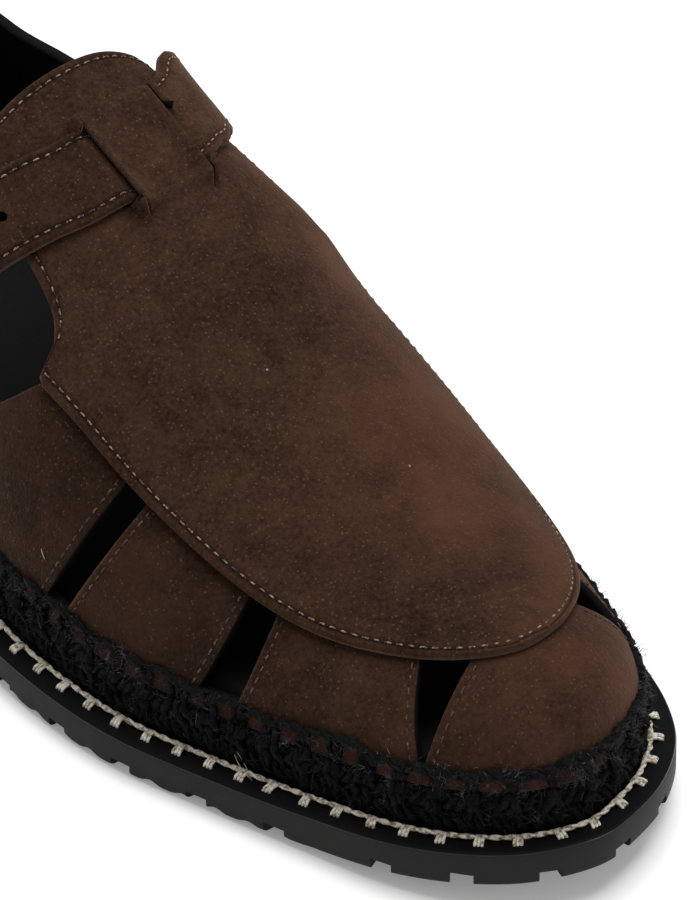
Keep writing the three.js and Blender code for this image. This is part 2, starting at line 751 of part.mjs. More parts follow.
add('outsole', outsole(), RUBBER, 0.55);
add('midsole', midsole(), YARN, 0.95);
add('insole', insole(), LINING, 0.8);
add('upper', upper(), SUEDE, 0.95);
add('apron', apron(), SUEDE, 0.95);
add('strap', strap(), SUEDE, 0.95);

// The origin is under the middle of the outline's box
const box = new THREE.Box3().setFromPoints(ring(0));
shoe.position.set(-(box.min.x + box.max.x) / 2, -LENGTH / 2, 0);

export default shoe;
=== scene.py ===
# Looks of a right espadrille of brown suede on a black braided jute midsole and a rubber outsole.
# Sizes are in millimetres in the shoe's own frame: x to the inner side, t from the toe tip to the
# heel and z up; they turn into metres in the row's frame where a mesh is made.
import math

import bpy
import numpy as np
from mathutils import Matrix, Vector


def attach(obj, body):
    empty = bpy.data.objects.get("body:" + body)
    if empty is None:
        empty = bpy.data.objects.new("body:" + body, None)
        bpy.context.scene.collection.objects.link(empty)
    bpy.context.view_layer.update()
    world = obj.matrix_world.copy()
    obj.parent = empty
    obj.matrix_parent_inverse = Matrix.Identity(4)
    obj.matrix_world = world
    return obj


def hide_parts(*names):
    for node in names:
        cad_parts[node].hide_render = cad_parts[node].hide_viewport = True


# Frame, camera, floor and light
# The camera stands at the photograph's angle: a long lens that looks down on the outer side of the
# toe. The floor is a white sweep under a large soft box and a small one, in a white surround.
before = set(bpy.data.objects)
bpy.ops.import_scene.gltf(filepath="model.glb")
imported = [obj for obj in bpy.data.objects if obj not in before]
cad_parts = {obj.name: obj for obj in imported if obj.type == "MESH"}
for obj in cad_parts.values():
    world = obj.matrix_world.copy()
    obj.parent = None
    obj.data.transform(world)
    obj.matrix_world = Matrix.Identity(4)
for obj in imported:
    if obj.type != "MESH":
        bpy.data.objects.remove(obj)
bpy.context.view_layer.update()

SHOE_TO_ROW = np.array([5.740615905761722, -150.0, 0.0])
CAMERA_AZIMUTH = math.radians(-37.2408494)
CAMERA_ELEVATION = math.radians(38.44547942)
CAMERA_ROLL = math.radians(-0.48196173)
CAMERA_DISTANCE = 1600.0
CAMERA_SCALE = 5.08530291
CAMERA_TARGET = np.array([15.54643697, 107.48358364, 30.0])
SENSOR_WIDTH = 36.0
PHOTO_HEIGHT = 900.0


def to_row(points):
    """Points in the shoe's frame in millimetres, moved to the row's frame in metres."""
    return (np.asarray(points, float) + SHOE_TO_ROW) / 1000.0


def place_camera():
    """The camera looks from a distance along its own back axis, turned by a small roll about it."""
    a, e, roll = CAMERA_AZIMUTH, CAMERA_ELEVATION, CAMERA_ROLL
    back = Vector((math.sin(a) * math.cos(e), -math.cos(a) * math.cos(e), math.sin(e)))
    level = Vector((math.cos(a), math.sin(a), 0.0))
    rise = back.cross(level)
    right = level * math.cos(roll) + rise * math.sin(roll)
    up = back.cross(right)
    data = bpy.data.cameras.new("photo_camera")
    data.lens = CAMERA_SCALE * CAMERA_DISTANCE * SENSOR_WIDTH / PHOTO_HEIGHT
    data.clip_start, data.clip_end = 0.05, 20.0
    camera = bpy.data.objects.new("photo_camera", data)
    bpy.context.scene.collection.objects.link(camera)
    turn = Matrix((right, up, back)).transposed()
    camera.matrix_world = turn.to_4x4()
    camera.location = Vector(to_row(CAMERA_TARGET)) + back * (CAMERA_DISTANCE / 1000.0)
    bpy.context.scene.camera = camera


place_camera()
bpy.context.scene.view_settings.view_transform = "Standard"


class Socket:
    """One output of a shader node; arithmetic on it adds Math nodes to its finish."""

    def __init__(self, finish, link):
        self.finish, self.link = finish, link

    def math(self, operation, other, swapped=False):
        """A Math node on this value and another number or value, in this order or swapped."""
        values = (other, self) if swapped else (self, other)
        return self.finish.add("Math", {"operation": operation}, {0: values[0], 1: values[1]})[0]

    def __add__(self, other):
        return self.math("ADD", other)

    def __sub__(self, other):
        return self.math("SUBTRACT", other)

    def __rsub__(self, other):
        return self.math("SUBTRACT", other, swapped=True)

    def __mul__(self, other):
        return self.math("MULTIPLY", other)

    __radd__, __rmul__ = __add__, __mul__

    def ramp(self, low, high):
        """A smooth step of this value from low to high."""
        settings = {"interpolation_type": "SMOOTHSTEP", "clamp": True}
        return self.finish.add("MapRange", settings, {0: self, 1: low, 2: high})[0]


class Finish:
    """A material with one Principled shader; every other node comes from its add method."""

    def __init__(self, name, **fixed):
        self.material = bpy.data.materials.new(name)
        self.material.use_nodes = True
        self.nodes = self.material.node_tree.nodes
        self.nodes.clear()
        self.shader = self.nodes.new("ShaderNodeBsdfPrincipled")
        output = self.nodes.new("ShaderNodeOutputMaterial")
        self.material.node_tree.links.new(self.shader.outputs[0], output.inputs[0])
        for key, value in fixed.items():
            self.shader.inputs[key.replace("_", " ")].default_value = value
        self.where = self.add("TexCoord", {}, {})[3]

    def add(self, kind, settings, inputs):
        """A shader node of this kind: its settings go first, then its sockets' values or links."""
        node = self.nodes.new("ShaderNode" + kind)
        for key, value in settings.items():
            setattr(node, key, value)
        for key, value in inputs.items():
            self.join(node.inputs[key], value)
        return [Socket(self, link) for link in node.outputs]

    def join(self, socket, value):
        """Links a value of a node to a socket, or sets the socket to a plain number or colour."""
        if isinstance(value, Socket):
            self.material.node_tree.links.new(value.link, socket)
        else:
            socket.default_value = value

    def feed(self, **links):
        """Sets what varies over the surface on the shader's own sockets."""
        for key, value in links.items():
            self.join(self.shader.inputs[key.replace("_", " ")], value)

    def value(self, name):
        """The number that a piece's points carry under this name, or nought on other pieces."""
        return self.add("Attribute", {"attribute_name": name}, {})[2]

    def dots(self, scale, reach, share):
        """Round dots of a reach within their cells, on this share of the cells."""
        cells = self.add("TexVoronoi", {"feature": "F1"}, {"Vector": self.where, "Scale": scale})
        pick = self.add("SeparateColor", {}, {0: cells[1]})[0]
        near = 1 - cells[0].ramp(reach * 0.5, reach)
        return near * pick.ramp(1 - share, 1 - share + 0.02)

    def noise(self, scale, detail=3.0, rough=0.55):
        """Cloudy values from nought to one, scale of them to the metre."""
        inputs = {"Vector": self.where, "Scale": scale, "Detail": detail, "Roughness": rough}
        return self.add("TexNoise", {}, inputs)[0]

    def blend(self, first, second, share):
        """A colour between two, by a share of the second."""
        return self.add("Mix", {"data_type": "RGBA"}, {0: share, 6: first, 7: second})[2]

    def bump(self, height, distance, strength, below=None):
        """A relief from a value: its full height is a distance in metres, over another relief."""
        inputs = {"Strength": strength, "Distance": distance, "Height": height}
        if below is not None:
            inputs["Normal"] = below
        return self.add("Bump", {}, inputs)[0]


def srgb(red, green, blue):
    """A colour given in a screen's 0 to 255 steps, as the linear values that a shader takes."""
    parts = [c / 255.0 for c in (red, green, blue)]
    linear = [c / 12.92 if c <= 0.04045 else ((c + 0.055) / 1.055) ** 2.4 for c in parts]
    return (*linear, 1.0)


def put(name, points, faces, finishes, slot=None, replaces=(), which=None, values=None,
        smooth=True):
    mesh = bpy.data.meshes.new(name)
    points = np.asarray(points, float).reshape(-1, 3)
    faces = np.asarray(faces, np.int64)
    used, index = np.unique(faces, return_inverse=True)
    faces = index.reshape(faces.shape)
    mesh.from_pydata(to_row(points[used]).tolist(), [], faces.tolist())
    for finish in finishes:
        mesh.materials.append(finish.material)
    if which is not None:
        mesh.polygons.foreach_set("material_index", np.asarray(which, np.int32))
    mesh.polygons.foreach_set("use_smooth", np.full(len(mesh.polygons), smooth))
    for key, numbers in (values or {}).items():
        layer = mesh.attributes.new(key, "FLOAT", "POINT")
        layer.data.foreach_set("value", np.asarray(numbers, np.float32).ravel()[used])
    mesh.update()
    piece = bpy.data.objects.new(name, mesh)
    bpy.context.scene.collection.objects.link(piece)
    if slot:
        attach(piece, "root")
        if replaces:
            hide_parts(*replaces)
    return piece


FLOOR_HALF = 4000.0
FLOOR_LEVEL = -0.05
SHOE_MIDDLE = (0.0, -0.02, 0.03)
floor_white = Finish("floor_white", Roughness=0.9, Emission_Color=(1, 1, 1, 1),
                     Emission_Strength=0.2)
floor_white.feed(Base_Color=srgb(252, 252, 252))
floor = put(
    "floor",
    [[x * FLOOR_HALF, y * FLOOR_HALF, FLOOR_LEVEL]
     for x, y in ((-1, -1), (1, -1), (1, 1), (-1, 1))],
    [[0, 1, 2, 3]],
    [floor_white],
)


def soft_box(name, place, size, power):
    """A square white lamp at a place in the row's metres that faces the middle of the shoe."""
    data = bpy.data.lights.new(name, "AREA")
    data.shape, data.size, data.energy = "SQUARE", size, power
    lamp = bpy.data.objects.new(name, data)
    bpy.context.scene.collection.objects.link(lamp)
    lamp.location = place
    aim = Vector(SHOE_MIDDLE) - Vector(place)
    lamp.rotation_euler = aim.to_track_quat("-Z", "Y").to_euler()


soft_box("overhead_box", (0.3, 0.12, 1.5), 1.2, 23.0)
soft_box("toe_box", (0.5, -1.5, 0.7), 0.8, 2.0)
surround = bpy.data.worlds.new("white_surround")
surround.use_nodes = True
background = surround.node_tree.nodes["Background"]
background.inputs["Color"].default_value = (1.0, 1.0, 1.0, 1.0)
background.inputs["Strength"].default_value = 0.3
bpy.context.scene.world = surround

# Outsole
# A moulded black rubber slab with a flat ledge round the jute and a sprung toe. Grooves across its
# tread show as notches along its lower edge, and small scallops soften that edge.
LENGTH = 300.0
BALL_WIDTH = 109.0
OUTSOLE = 8.0
TOE_SPRING = 7.0
SPRING_END = 0.25 * LENGTH
EDGE_ROUND = 0.8
FOOT_ROUND = 1.2
LUG_DEPTH = 2.5
LUG_GROOVE = 4.5
LUG_PITCH = 17.0
TREAD_START, TREAD_END = 0.17 * LENGTH, 0.97 * LENGTH
FAN_CENTRE = 0.16 * LENGTH
FAN_REACH = 0.25 * LENGTH
FAN_ANGLES = (-62, -40, -19, 0, 19, 40, 62)
SCALLOP = 0.9
SCALLOP_PITCH = 7.6
SCALLOP_START, SCALLOP_FADE = 0.12 * LENGTH, 0.1 * LENGTH
RING_FINE = 20
SIDE_FINE = 70

# along, lateral half width, medial half width: shares of the length and of the ball width
OUTLINE = np.array([
    (0.000, 0.037, -0.037), (0.004, 0.097, 0.018), (0.020, 0.184, 0.125), (0.050, 0.264, 0.226),
    (0.090, 0.331, 0.294), (0.150, 0.394, 0.349), (0.220, 0.461, 0.392), (0.290, 0.523, 0.420),
    (0.350, 0.546, 0.436), (0.420, 0.545, 0.434), (0.500, 0.507, 0.402), (0.600, 0.452, 0.363),
    (0.700, 0.406, 0.342), (0.800, 0.372, 0.334), (0.880, 0.337, 0.319), (0.940, 0.271, 0.262),
    (0.980, 0.167, 0.163), (0.996, 0.071, 0.071), (1.000, 0.000, 0.000),
])


def outline_points():
    """The table's points in the shoe's frame: down the outer side and back up the inner one."""
    lateral = np.column_stack([-OUTLINE[:, 1] * BALL_WIDTH, OUTLINE[:, 0] * LENGTH])
    medial = np.column_stack([OUTLINE[:, 2] * BALL_WIDTH, OUTLINE[:, 0] * LENGTH])[1:-1][::-1]
    return np.vstack([lateral, medial])


def ring(inset, steps=RING_FINE):
    """Closed centripetal curve through the outline's points, moved inwards along its normals."""
    base = outline_points()
    count = len(base)
    place = np.arange(count * steps) / steps
    low = place.astype(int)
    s = (place - low)[:, None]
    p0, p1, p2, p3 = (base[(low + shift) % count] for shift in (-1, 0, 1, 2))
    d0, d1, d2 = (np.sqrt(np.linalg.norm(b - a, axis=1))[:, None]
                  for a, b in ((p0, p1), (p1, p2), (p2, p3)))
    first = ((p1 - p0) / d0 - (p2 - p0) / (d0 + d1) + (p2 - p1) / d1) * d1
    second = ((p2 - p1) / d1 - (p3 - p1) / (d1 + d2) + (p3 - p2) / d2) * d1
    curve = (
        p1 + first * s + (3 * (p2 - p1) - 2 * first - second) * s**2
        + (2 * (p1 - p2) + first + second) * s**3
    )
    step = np.roll(curve, -1, axis=0) - np.roll(curve, 1, axis=0)
    outward = np.column_stack([-step[:, 1], step[:, 0]])
    outward /= np.linalg.norm(outward, axis=1)[:, None]
    return curve - outward * inset


def underside(t):
    """Height of the tread: flat, with a toe that rises by the square of its share of the spring."""
    return TOE_SPRING * np.maximum(0.0, 1.0 - t / SPRING_END) ** 2


def smooth(value):
    """A value held between nought and one and eased at both ends: 3 s squared less 2 s cubed."""
    s = np.clip(value, 0.0, 1.0)
    return s * s * (3 - 2 * s)


def stack(rings):
    """Closed slab from stacked rings of points: side quads, and strips across it as caps."""
    points = np.concatenate(rings)
    count = len(rings[0])
    n = np.arange(count)
    after = (n + 1) % count
    faces = []
    for r in range(len(rings) - 1):
        low, high = r * count, (r + 1) * count
        faces.append(np.column_stack([low + n, high + n, high + after, low + after]))
    half = np.arange(count // 2)
    for base, turned in ((0, False), ((len(rings) - 1) * count, True)):
        cap = np.column_stack([half, half + 1, count - half - 1, (count - half) % count]) + base
        faces.append(cap[:, ::-1] if turned else cap)
    return points, np.vstack(faces)


def level_ring(inset, level, steps=RING_FINE):
    """A ring of the outline whose height is a function of the place along the shoe."""
    flat = ring(inset, steps)
    return np.column_stack([flat, level(flat[:, 1])])


def rubber_finish(name, dark, light, gloss, shine):
    """Moulded rubber: a fine grain and soft smears of dust."""
    rubber = Finish(name, Specular_IOR_Level=shine)
    grain = rubber.noise(900.0, 4.0)
    smears = rubber.noise(60.0, 5.0, 0.65)
    rubber.feed(
        Base_Color=rubber.blend(dark, light, smears.ramp(0.4, 0.75)),
        Roughness=smears * 0.2 + gloss,
        Normal=rubber.bump(grain, 0.0002, 0.25),
    )
    return rubber


ledge_rubber = rubber_finish("ledge_rubber", srgb(2, 2, 2), srgb(6, 6, 6), 0.55, 0.1)
rim_rubber = rubber_finish("rim_rubber", srgb(18, 18, 18), srgb(30, 30, 30), 0.16, 0.7)
side_rubber = rubber_finish("side_rubber", srgb(14, 14, 13), srgb(24, 23, 22), 0.5, 0.22)


def rounded_profile():
    """Insets and heights of the outsole's side, with a quarter round at its foot and at its top."""
    turn = np.radians([0, 22, 45, 67, 90])
    foot = np.stack([FOOT_ROUND * (1 - np.sin(turn)), FOOT_ROUND * (1 - np.cos(turn))], 1)
    top = np.stack([EDGE_ROUND * (1 - np.cos(turn)), OUTSOLE - EDGE_ROUND * (1 - np.sin(turn))], 1)
    return np.vstack([foot, top])


def sole_rings():
    """Rings of the outsole from its foot to its ledge; small scallops lift the foot's edge."""
    flat = ring(0, SIDE_FINE)
    run = np.cumsum(np.linalg.norm(np.roll(flat, -1, axis=0) - flat, axis=1))
    wave = (0.5 + 0.5 * np.cos(2 * np.pi * run / SCALLOP_PITCH)) ** 2
    side = smooth((flat[:, 1] - SCALLOP_START) / SCALLOP_FADE)
    rings = []
    for inset, rise in rounded_profile():
        level = level_ring(inset, lambda t: underside(t) + rise, SIDE_FINE)
        level[:, 2] += SCALLOP * wave * side * max(0, 1 - rise / (3 * FOOT_ROUND))
        rings.append(level)
    return rings


def tread_bar(across, along, place, turn=0.0, tilt=0.0):
    """Eight corners of a cutting bar, tilted with the toe's spring and turned round the fan."""
    signs = np.array([[a, b, c] for c in (-1, 1) for a, b in ((-1, -1), (1, -1), (1, 1), (-1, 1))])
    bar = signs * [across / 2, along / 2, LUG_DEPTH] + place
    bar = bar @ np.array([[1, 0, 0], [0, math.cos(tilt), math.sin(tilt)],
                          [0, -math.sin(tilt), math.cos(tilt)]])
    return bar @ np.array([[math.cos(turn), math.sin(turn), 0],
                           [-math.sin(turn), math.cos(turn), 0], [0, 0, 1]])


BAR_FACES = [[3, 2, 1, 0], [4, 5, 6, 7], [0, 1, 5, 4], [1, 2, 6, 5], [2, 3, 7, 6], [3, 0, 4, 7]]


def cut_tread(slab):
    """The grooves are cut with bars: straight ones behind the toe and a fan round it."""
    bars = [tread_bar(2 * BALL_WIDTH, LUG_GROOVE, [0, t, underside(t)])
            for t in np.arange(TREAD_START, TREAD_END, LUG_PITCH)]
    for turn in np.radians(FAN_ANGLES):
        tilt = -math.atan2(TOE_SPRING * math.cos(turn), FAN_CENTRE)
        bar = tread_bar(LUG_GROOVE, FAN_REACH, [0, -FAN_REACH / 2 - LUG_PITCH, 0], turn, tilt)
        bars.append(bar + [0, FAN_CENTRE, 0])
    cutters = [put(f"bar_{n}", bar, BAR_FACES, [side_rubber], smooth=False)
               for n, bar in enumerate(bars)]
    for cutter in cutters:
        cut = slab.modifiers.new(cutter.name, "BOOLEAN")
        cut.object, cut.operation, cut.solver = cutter, "DIFFERENCE", "MANIFOLD"
    bpy.context.view_layer.update()
    shown = slab.evaluated_get(bpy.context.evaluated_depsgraph_get())
    slab_mesh = bpy.data.meshes.new_from_object(shown)
    slab.modifiers.clear()
    slab.data = slab_mesh
    for cutter in cutters:
        bpy.data.objects.remove(cutter)


sole_points, sole_faces = stack(sole_rings())
sole_spots = sole_points[sole_faces].mean(1)
below_ledge = underside(sole_spots[:, 1]) + OUTSOLE - sole_spots[:, 2]
sole_finish = np.select([below_ledge < 0.2 * EDGE_ROUND, below_ledge < 0.75 * EDGE_ROUND], [1, 2])
outsole = put("outsole_rubber", sole_points, sole_faces, [side_rubber, ledge_rubber, rim_rubber],
              slot="rubber", replaces=("outsole",), which=sole_finish)
cut_tread(outsole)
outsole.data.set_sharp_from_angle(angle=math.radians(32))

# Midsole
# Two turns of black jute rope laid on the rubber; their twisted strands slant one way on the lower
# rope and the other way on the upper, and loose fibres stand out all round.
JUTE = 10.0
HEEL_RISE = 4.0
RISE_START, RISE_LENGTH = 0.3 * LENGTH, 0.567 * LENGTH
LEDGE = 6.3
ROPE_BULGE = 0.9
CLEAR = 0.3
STRAND_PITCH = 2.3
STRAND_RADIUS = 0.8
STRAND_DEPTH, STRAND_REACH, STRAND_POINTS = 2.7, 2.5, 9
STRAND_SLANT = 2.3
ROPE_STEPS = 17
UP = np.array([0.0, 0.0, 1.0])
ROPE_FUZZ, FUZZ_LENGTH = 9800, 2.5
HAIR_POINTS, HAIR_TIP, HAIR_FLOOR = 4, 0.35, 0.3


def midsole_top(t):
    """Height of the rope's top, which eases up from the waist by the heel's rise."""
    return underside(t) + OUTSOLE + JUTE + HEEL_RISE * smooth((t - RISE_START) / RISE_LENGTH)


def rope_height(t, share):
    """Height at a share of the rope's own height, from the ledge to its top."""
    foot = underside(t) + OUTSOLE + CLEAR
    return foot + (midsole_top(t) - foot) * share


jute_black = Finish("black_jute", Roughness=0.75, Specular_IOR_Level=0.14)
fibre = jute_black.noise(1500.0, 3.0)
jute_black.feed(
    Base_Color=jute_black.blend(srgb(2, 2, 3), srgb(27, 27, 31), fibre.ramp(0.5, 0.8)),
    Normal=jute_black.bump(fibre, 0.0006, 0.9),
)

rope_rings = []
for share in np.linspace(0, 1, ROPE_STEPS):
    bulge = abs(math.sin(2 * math.pi * share))
    inset = LEDGE + 0.7 + ROPE_BULGE * (1 - bulge)
    rope_rings.append(level_ring(inset, lambda t, share=share: rope_height(t, share)))
put("midsole_core", *stack(rope_rings), [jute_black], slot="jute", replaces=("midsole",))


def frames_along(path):
    """Unit direction of a path, from the points before and after each one."""
    step = np.gradient(path, axis=-2)
    return step / np.maximum(np.linalg.norm(step, axis=-1, keepdims=True), 1e-9)


def tubes(paths, radius, sides=6):
    """Many tubes at once, each a ring of corners square to its path at every point: paths is
    (tubes, points, 3) and radius (tubes, points) or one number."""
    count, length, _ = paths.shape
    ahead = frames_along(paths)
    side = np.cross(ahead, [0.0, 0.0, 1.0])
    weak = np.linalg.norm(side, axis=-1, keepdims=True) < 0.15
    side = np.where(weak, np.cross(ahead, [1.0, 0.0, 0.0]), side)
    side /= np.linalg.norm(side, axis=-1, keepdims=True)
    lift = np.cross(side, ahead)
    turn = np.arange(sides) * 2 * math.pi / sides
    radius = np.broadcast_to(np.asarray(radius, float), (count, length))[..., None, None]
    around = side[:, :, None] * np.cos(turn)[:, None] + lift[:, :, None] * np.sin(turn)[:, None]
    points = paths[:, :, None] + around * radius
    first = (np.arange(count) * length * sides)[:, None]
    n = np.arange(sides)
    quad = np.stack([n, (n + 1) % sides, (n + 1) % sides + sides, n + sides], 1)
    steps = np.arange(length - 1)[:, None, None] * sides
    walls = (first[:, :, None, None] + steps + quad).reshape(-1, 4)
    last = first + (length - 1) * sides
    caps = []
    for corner in range(1, sides - 2, 2):
        ends = np.array([0, corner, corner + 1, corner + 2])
        caps += [first + ends[::-1], last + ends]
    return points.reshape(-1, 3), np.vstack([walls, *caps])


def run_along(path):
    """Distance along a path of points from its start to each of them."""
    return np.concatenate([[0], np.cumsum(np.linalg.norm(np.diff(path, axis=0), axis=1))])


def along_ring(inset, level, pitch, start=0.0):
    """Places every pitch along a ring: points, unit directions and outward normals."""
    flat = ring(inset, 40)
    points = np.column_stack([flat, level(flat[:, 1])])
    loop = np.vstack([points, points[:1]])
    run = run_along(loop)
    count = int(run[-1] // pitch)
    spots = (np.arange(count) + start) * run[-1] / count
    where = np.stack([np.interp(spots % run[-1], run, loop[:, n]) for n in range(3)], -1)
    near = np.stack([np.interp((spots + 0.5) % run[-1], run, loop[:, n]) for n in range(3)], -1)
    ahead = near - where
    ahead /= np.linalg.norm(ahead, axis=1)[:, None]
    outward = np.column_stack([-ahead[:, 1], ahead[:, 0], np.zeros(count)])
    return where, ahead, outward / np.linalg.norm(outward, axis=1)[:, None]


def rope_strands(share, slant, start, random):
    """Each strand is an arc round the rope that slips along it from its foot to its top."""
    where, ahead, outward = along_ring(
        LEDGE + STRAND_DEPTH, lambda t: rope_height(t, share), STRAND_PITCH, start)
    count = len(where)
    turn = np.radians(np.linspace(-78, 88, STRAND_POINTS))
    reach = (STRAND_REACH + random.normal(0, 0.2, (count, 1))
             + random.normal(0, 0.12, (count, STRAND_POINTS)))
    slip = np.linspace(-1, 1, STRAND_POINTS) * slant + random.normal(0, 0.4, (count, 1))
    return (
        where[:, None]
        + outward[:, None] * (np.cos(turn) * reach)[..., None]
        + UP * (np.sin(turn) * reach * 0.95)[..., None]
        + ahead[:, None] * slip[..., None]
    )


random = np.random.default_rng(7)
strands = np.concatenate([
    rope_strands(0.25, STRAND_SLANT, 0.0, random), rope_strands(0.75, -STRAND_SLANT, 0.5, random),
])
thick = STRAND_RADIUS * np.clip(np.sin(np.linspace(0.35, 2.8, STRAND_POINTS)), 0.55, 1)
put("midsole_strands", *tubes(strands, thick[None, :]), [jute_black], slot="jute")


# the loose fibres run from near black to pale grey: partly paler fibres, partly painted glints
jute_fibre_and_glint = Finish("jute_fibre_and_glint", Roughness=0.5, Specular_IOR_Level=0.5)
tone = jute_fibre_and_glint.noise(400.0, 2.0)
jute_fibre_and_glint.feed(
    Base_Color=jute_fibre_and_glint.blend(srgb(7, 7, 9), srgb(104, 106, 116), tone.ramp(0.5, 0.74)))


def hairs(roots, ahead, length, curl, radius, random):
    """Thin curved fibres: each leaves its root along its direction, bends by a random curl and
    stays above the floor."""
    run = np.linspace(0, 1, HAIR_POINTS)[None, :, None]
    bend = random.normal(0, 1, (len(roots), 1, 3)) * curl
    path = roots[:, None] + (ahead[:, None] * run + bend * run**2) * length[:, None, None]
    path[..., 2] = np.maximum(path[..., 2], HAIR_FLOOR)
    return tubes(path, radius[:, None] * np.linspace(1, HAIR_TIP, HAIR_POINTS), 3)


def rope_fuzz(count, random):
    """Fibres scattered over the rope's side, from its foot to a little over its top."""
    where, ahead, outward = along_ring(LEDGE + 0.3, np.zeros_like, 0.05)
    pick = random.integers(0, len(where), count)
    share = random.uniform(0.02, 1.1, count)
    roots = where[pick]
    roots[:, 2] = rope_height(roots[:, 1], share)
    lean = random.normal(0, 1, (count, 1)) * 0.9
    way = outward[pick] * random.uniform(0.15, 0.7, (count, 1)) + ahead[pick] * lean
    way[:, 2] += random.normal(0.0, 0.7, count)
    way /= np.linalg.norm(way, axis=1)[:, None]
    size = random.uniform(0.3, 1.0, count) * FUZZ_LENGTH
    return hairs(roots, way, size, 0.45, random.uniform(0.035, 0.075, count), random)


put("midsole_fuzz", *rope_fuzz(ROPE_FUZZ, np.random.default_rng(11)), [jute_fibre_and_glint], slot="jute")

# Welt stitching
# Waxed natural thread joins jute and rubber: a bar of three strands over the ledge every 7.3 mm,
# and a two-ply run that dips from bar to bar along the foot of the rope.
WELT_PITCH = 7.3
BAR_LENGTH = 2.7
BAR_STRANDS = 3
STRAND_STEP = 0.68
THREAD_RADIUS = 0.34
RUN_STEP = 0.36
RUN_TWIST = 5.6
PLY_SWING = 0.24
WELT_LINE = LEDGE - 0.9

natural_thread = Finish("natural_thread", Roughness=0.7, Sheen_Weight=0.1)
ply = natural_thread.noise(1100.0, 3.0)
natural_thread.feed(
    Base_Color=natural_thread.blend(srgb(142, 124, 98), srgb(236, 229, 214), ply.ramp(0.34, 0.56)),
    Normal=natural_thread.bump(ply, 0.0003, 0.5),
)


def ledge_top(t):
    """Height of the rubber's flat ledge."""
    return underside(t) + OUTSOLE


def welt_bars(random):
    """Each strand of a bar leaves the rope's foot, lies on the ledge and dives into its hole."""
    where, ahead, outward = along_ring(WELT_LINE, ledge_top, WELT_PITCH)
    run = np.linspace(0, 1, 8)
    rise = 0.62 - 0.3 * run + 0.25 * np.sin(np.pi * run)
    rise[-1] = -0.3
    tilt = random.normal(0, 0.12, len(where))[:, None]
    reach = BAR_LENGTH * (1 + random.normal(0, 0.06, len(where)))[:, None]
    paths = []
    for n in range(BAR_STRANDS):
        aside = (n - (BAR_STRANDS - 1) / 2) * STRAND_STEP * (0.85 + 0.2 * run) + tilt * run * 2.2
        height = rise + random.normal(0, 0.05, (len(where), 1))
        paths.append(where[:, None] + outward[:, None] * (run * reach)[..., None]
                     + ahead[:, None] * aside[..., None] + UP * height[..., None])
    return np.concatenate(paths)


def welt_run():
    """Two plies wind round each other on a line that bows outwards and dips under every bar."""
    where, _, outward = along_ring(WELT_LINE, ledge_top, RUN_STEP)
    count = len(where)
    bars = len(along_ring(WELT_LINE, ledge_top, WELT_PITCH)[0])
    bow = np.abs(np.sin(np.pi * np.arange(count) / count * bars))
    line = where + outward * (0.1 + 0.45 * bow)[:, None]
    line[:, 2] += 0.15 + 0.6 * np.sqrt(bow)
    turn = 2 * np.pi * np.arange(count) * RUN_STEP / RUN_TWIST
    plies = []
    for half in (0.0, np.pi):
        ply_line = line + outward * (PLY_SWING * np.cos(turn + half))[:, None]
        ply_line[:, 2] += PLY_SWING * np.sin(turn + half)
        plies.append(np.vstack([ply_line, ply_line[:1]]))
    return np.array(plies)


random = np.random.default_rng(3)
put("welt_bars", *tubes(welt_bars(random), THREAD_RADIUS), [natural_thread], slot="jute")
put("welt_run", *tubes(welt_run(), THREAD_RADIUS), [natural_thread], slot="jute")

# Insole
# A thin black leather footbed glued on the rope inside the upper. Its edge is skived to clear the
# leaning wall, and it is seen only through the slits and the collar.
SKIN_INSET = 7.0
WALL = 2.2
INSOLE_INSET = SKIN_INSET + WALL + 1.1
INSOLE_PROFILE = ((0, 0), (0, 1.6), (0.5, 2.8), (1.6, 3.8), (2.4, 4.0))

lining_black = Finish("black_lining", Roughness=0.75, Specular_IOR_Level=0.12)
pores = lining_black.noise(1300.0, 3.0)
lining_black.feed(
    Base_Color=lining_black.blend(srgb(5, 5, 5), srgb(11, 11, 12), pores.ramp(0.4, 0.75)),
    Normal=lining_black.bump(pores, 0.0002, 0.3),
)
put(
    "insole_leather",
    *stack([level_ring(INSOLE_INSET + aside, lambda t, rise=rise: midsole_top(t) + CLEAR + rise)
            for aside, rise in INSOLE_PROFILE]),
    [lining_black],
    slot="footbed",
    replaces=("insole",),
)

# Upper
# One belt of brown suede, lined in black, lasted on to the rope. It is open at the collar, runs
# under the apron in front and has three slits through each side of the vamp.
INSTEP = 77.0
COLLAR = 40.0
APRON_HALF = 36.0
APRON_LAP = 8.0
CUT_UNDER = 3.0
CUT_BOW = 0.005
FOOT_BLUSH = 4.0
HEEL_START, HEEL_BULGE, HEEL_LEAN = 0.767 * LENGTH, 0.14, 0.16

# along, ridge height, ridge place, lateral power, medial power, crown power
SECTIONS = np.array([
    (0.0233, 0.000, -0.028, 2.00, 2.00, 2.0), (0.0333, 0.130, -0.026, 2.00, 2.00, 2.0),
    (0.0500, 0.201, -0.022, 2.00, 2.00, 2.0), (0.0833, 0.256, -0.015, 2.00, 2.00, 2.0),
    (0.1333, 0.298, -0.006, 2.00, 2.00, 2.0), (0.2000, 0.351, 0.000, 2.00, 1.95, 1.9),
    (0.2667, 0.427, 0.000, 2.00, 1.92, 1.9), (0.3333, 0.530, 0.000, 2.00, 1.92, 1.9),
    (0.4000, 0.647, 0.000, 2.00, 2.00, 1.9), (0.4667, 0.752, 0.008, 2.05, 2.70, 1.9),
    (0.5333, 0.855, 0.004, 2.15, 2.40, 1.9), (0.6000, 0.968, 0.000, 2.30, 2.20, 1.9),
    (0.7000, 1.234, 0.000, 2.60, 2.60, 2.0), (1.0000, 1.234, 0.000, 2.60, 2.60, 2.0),
])
HEIGHT, PLACE, LATERAL, MEDIAL, CROWN = 1, 2, 3, 4, 5

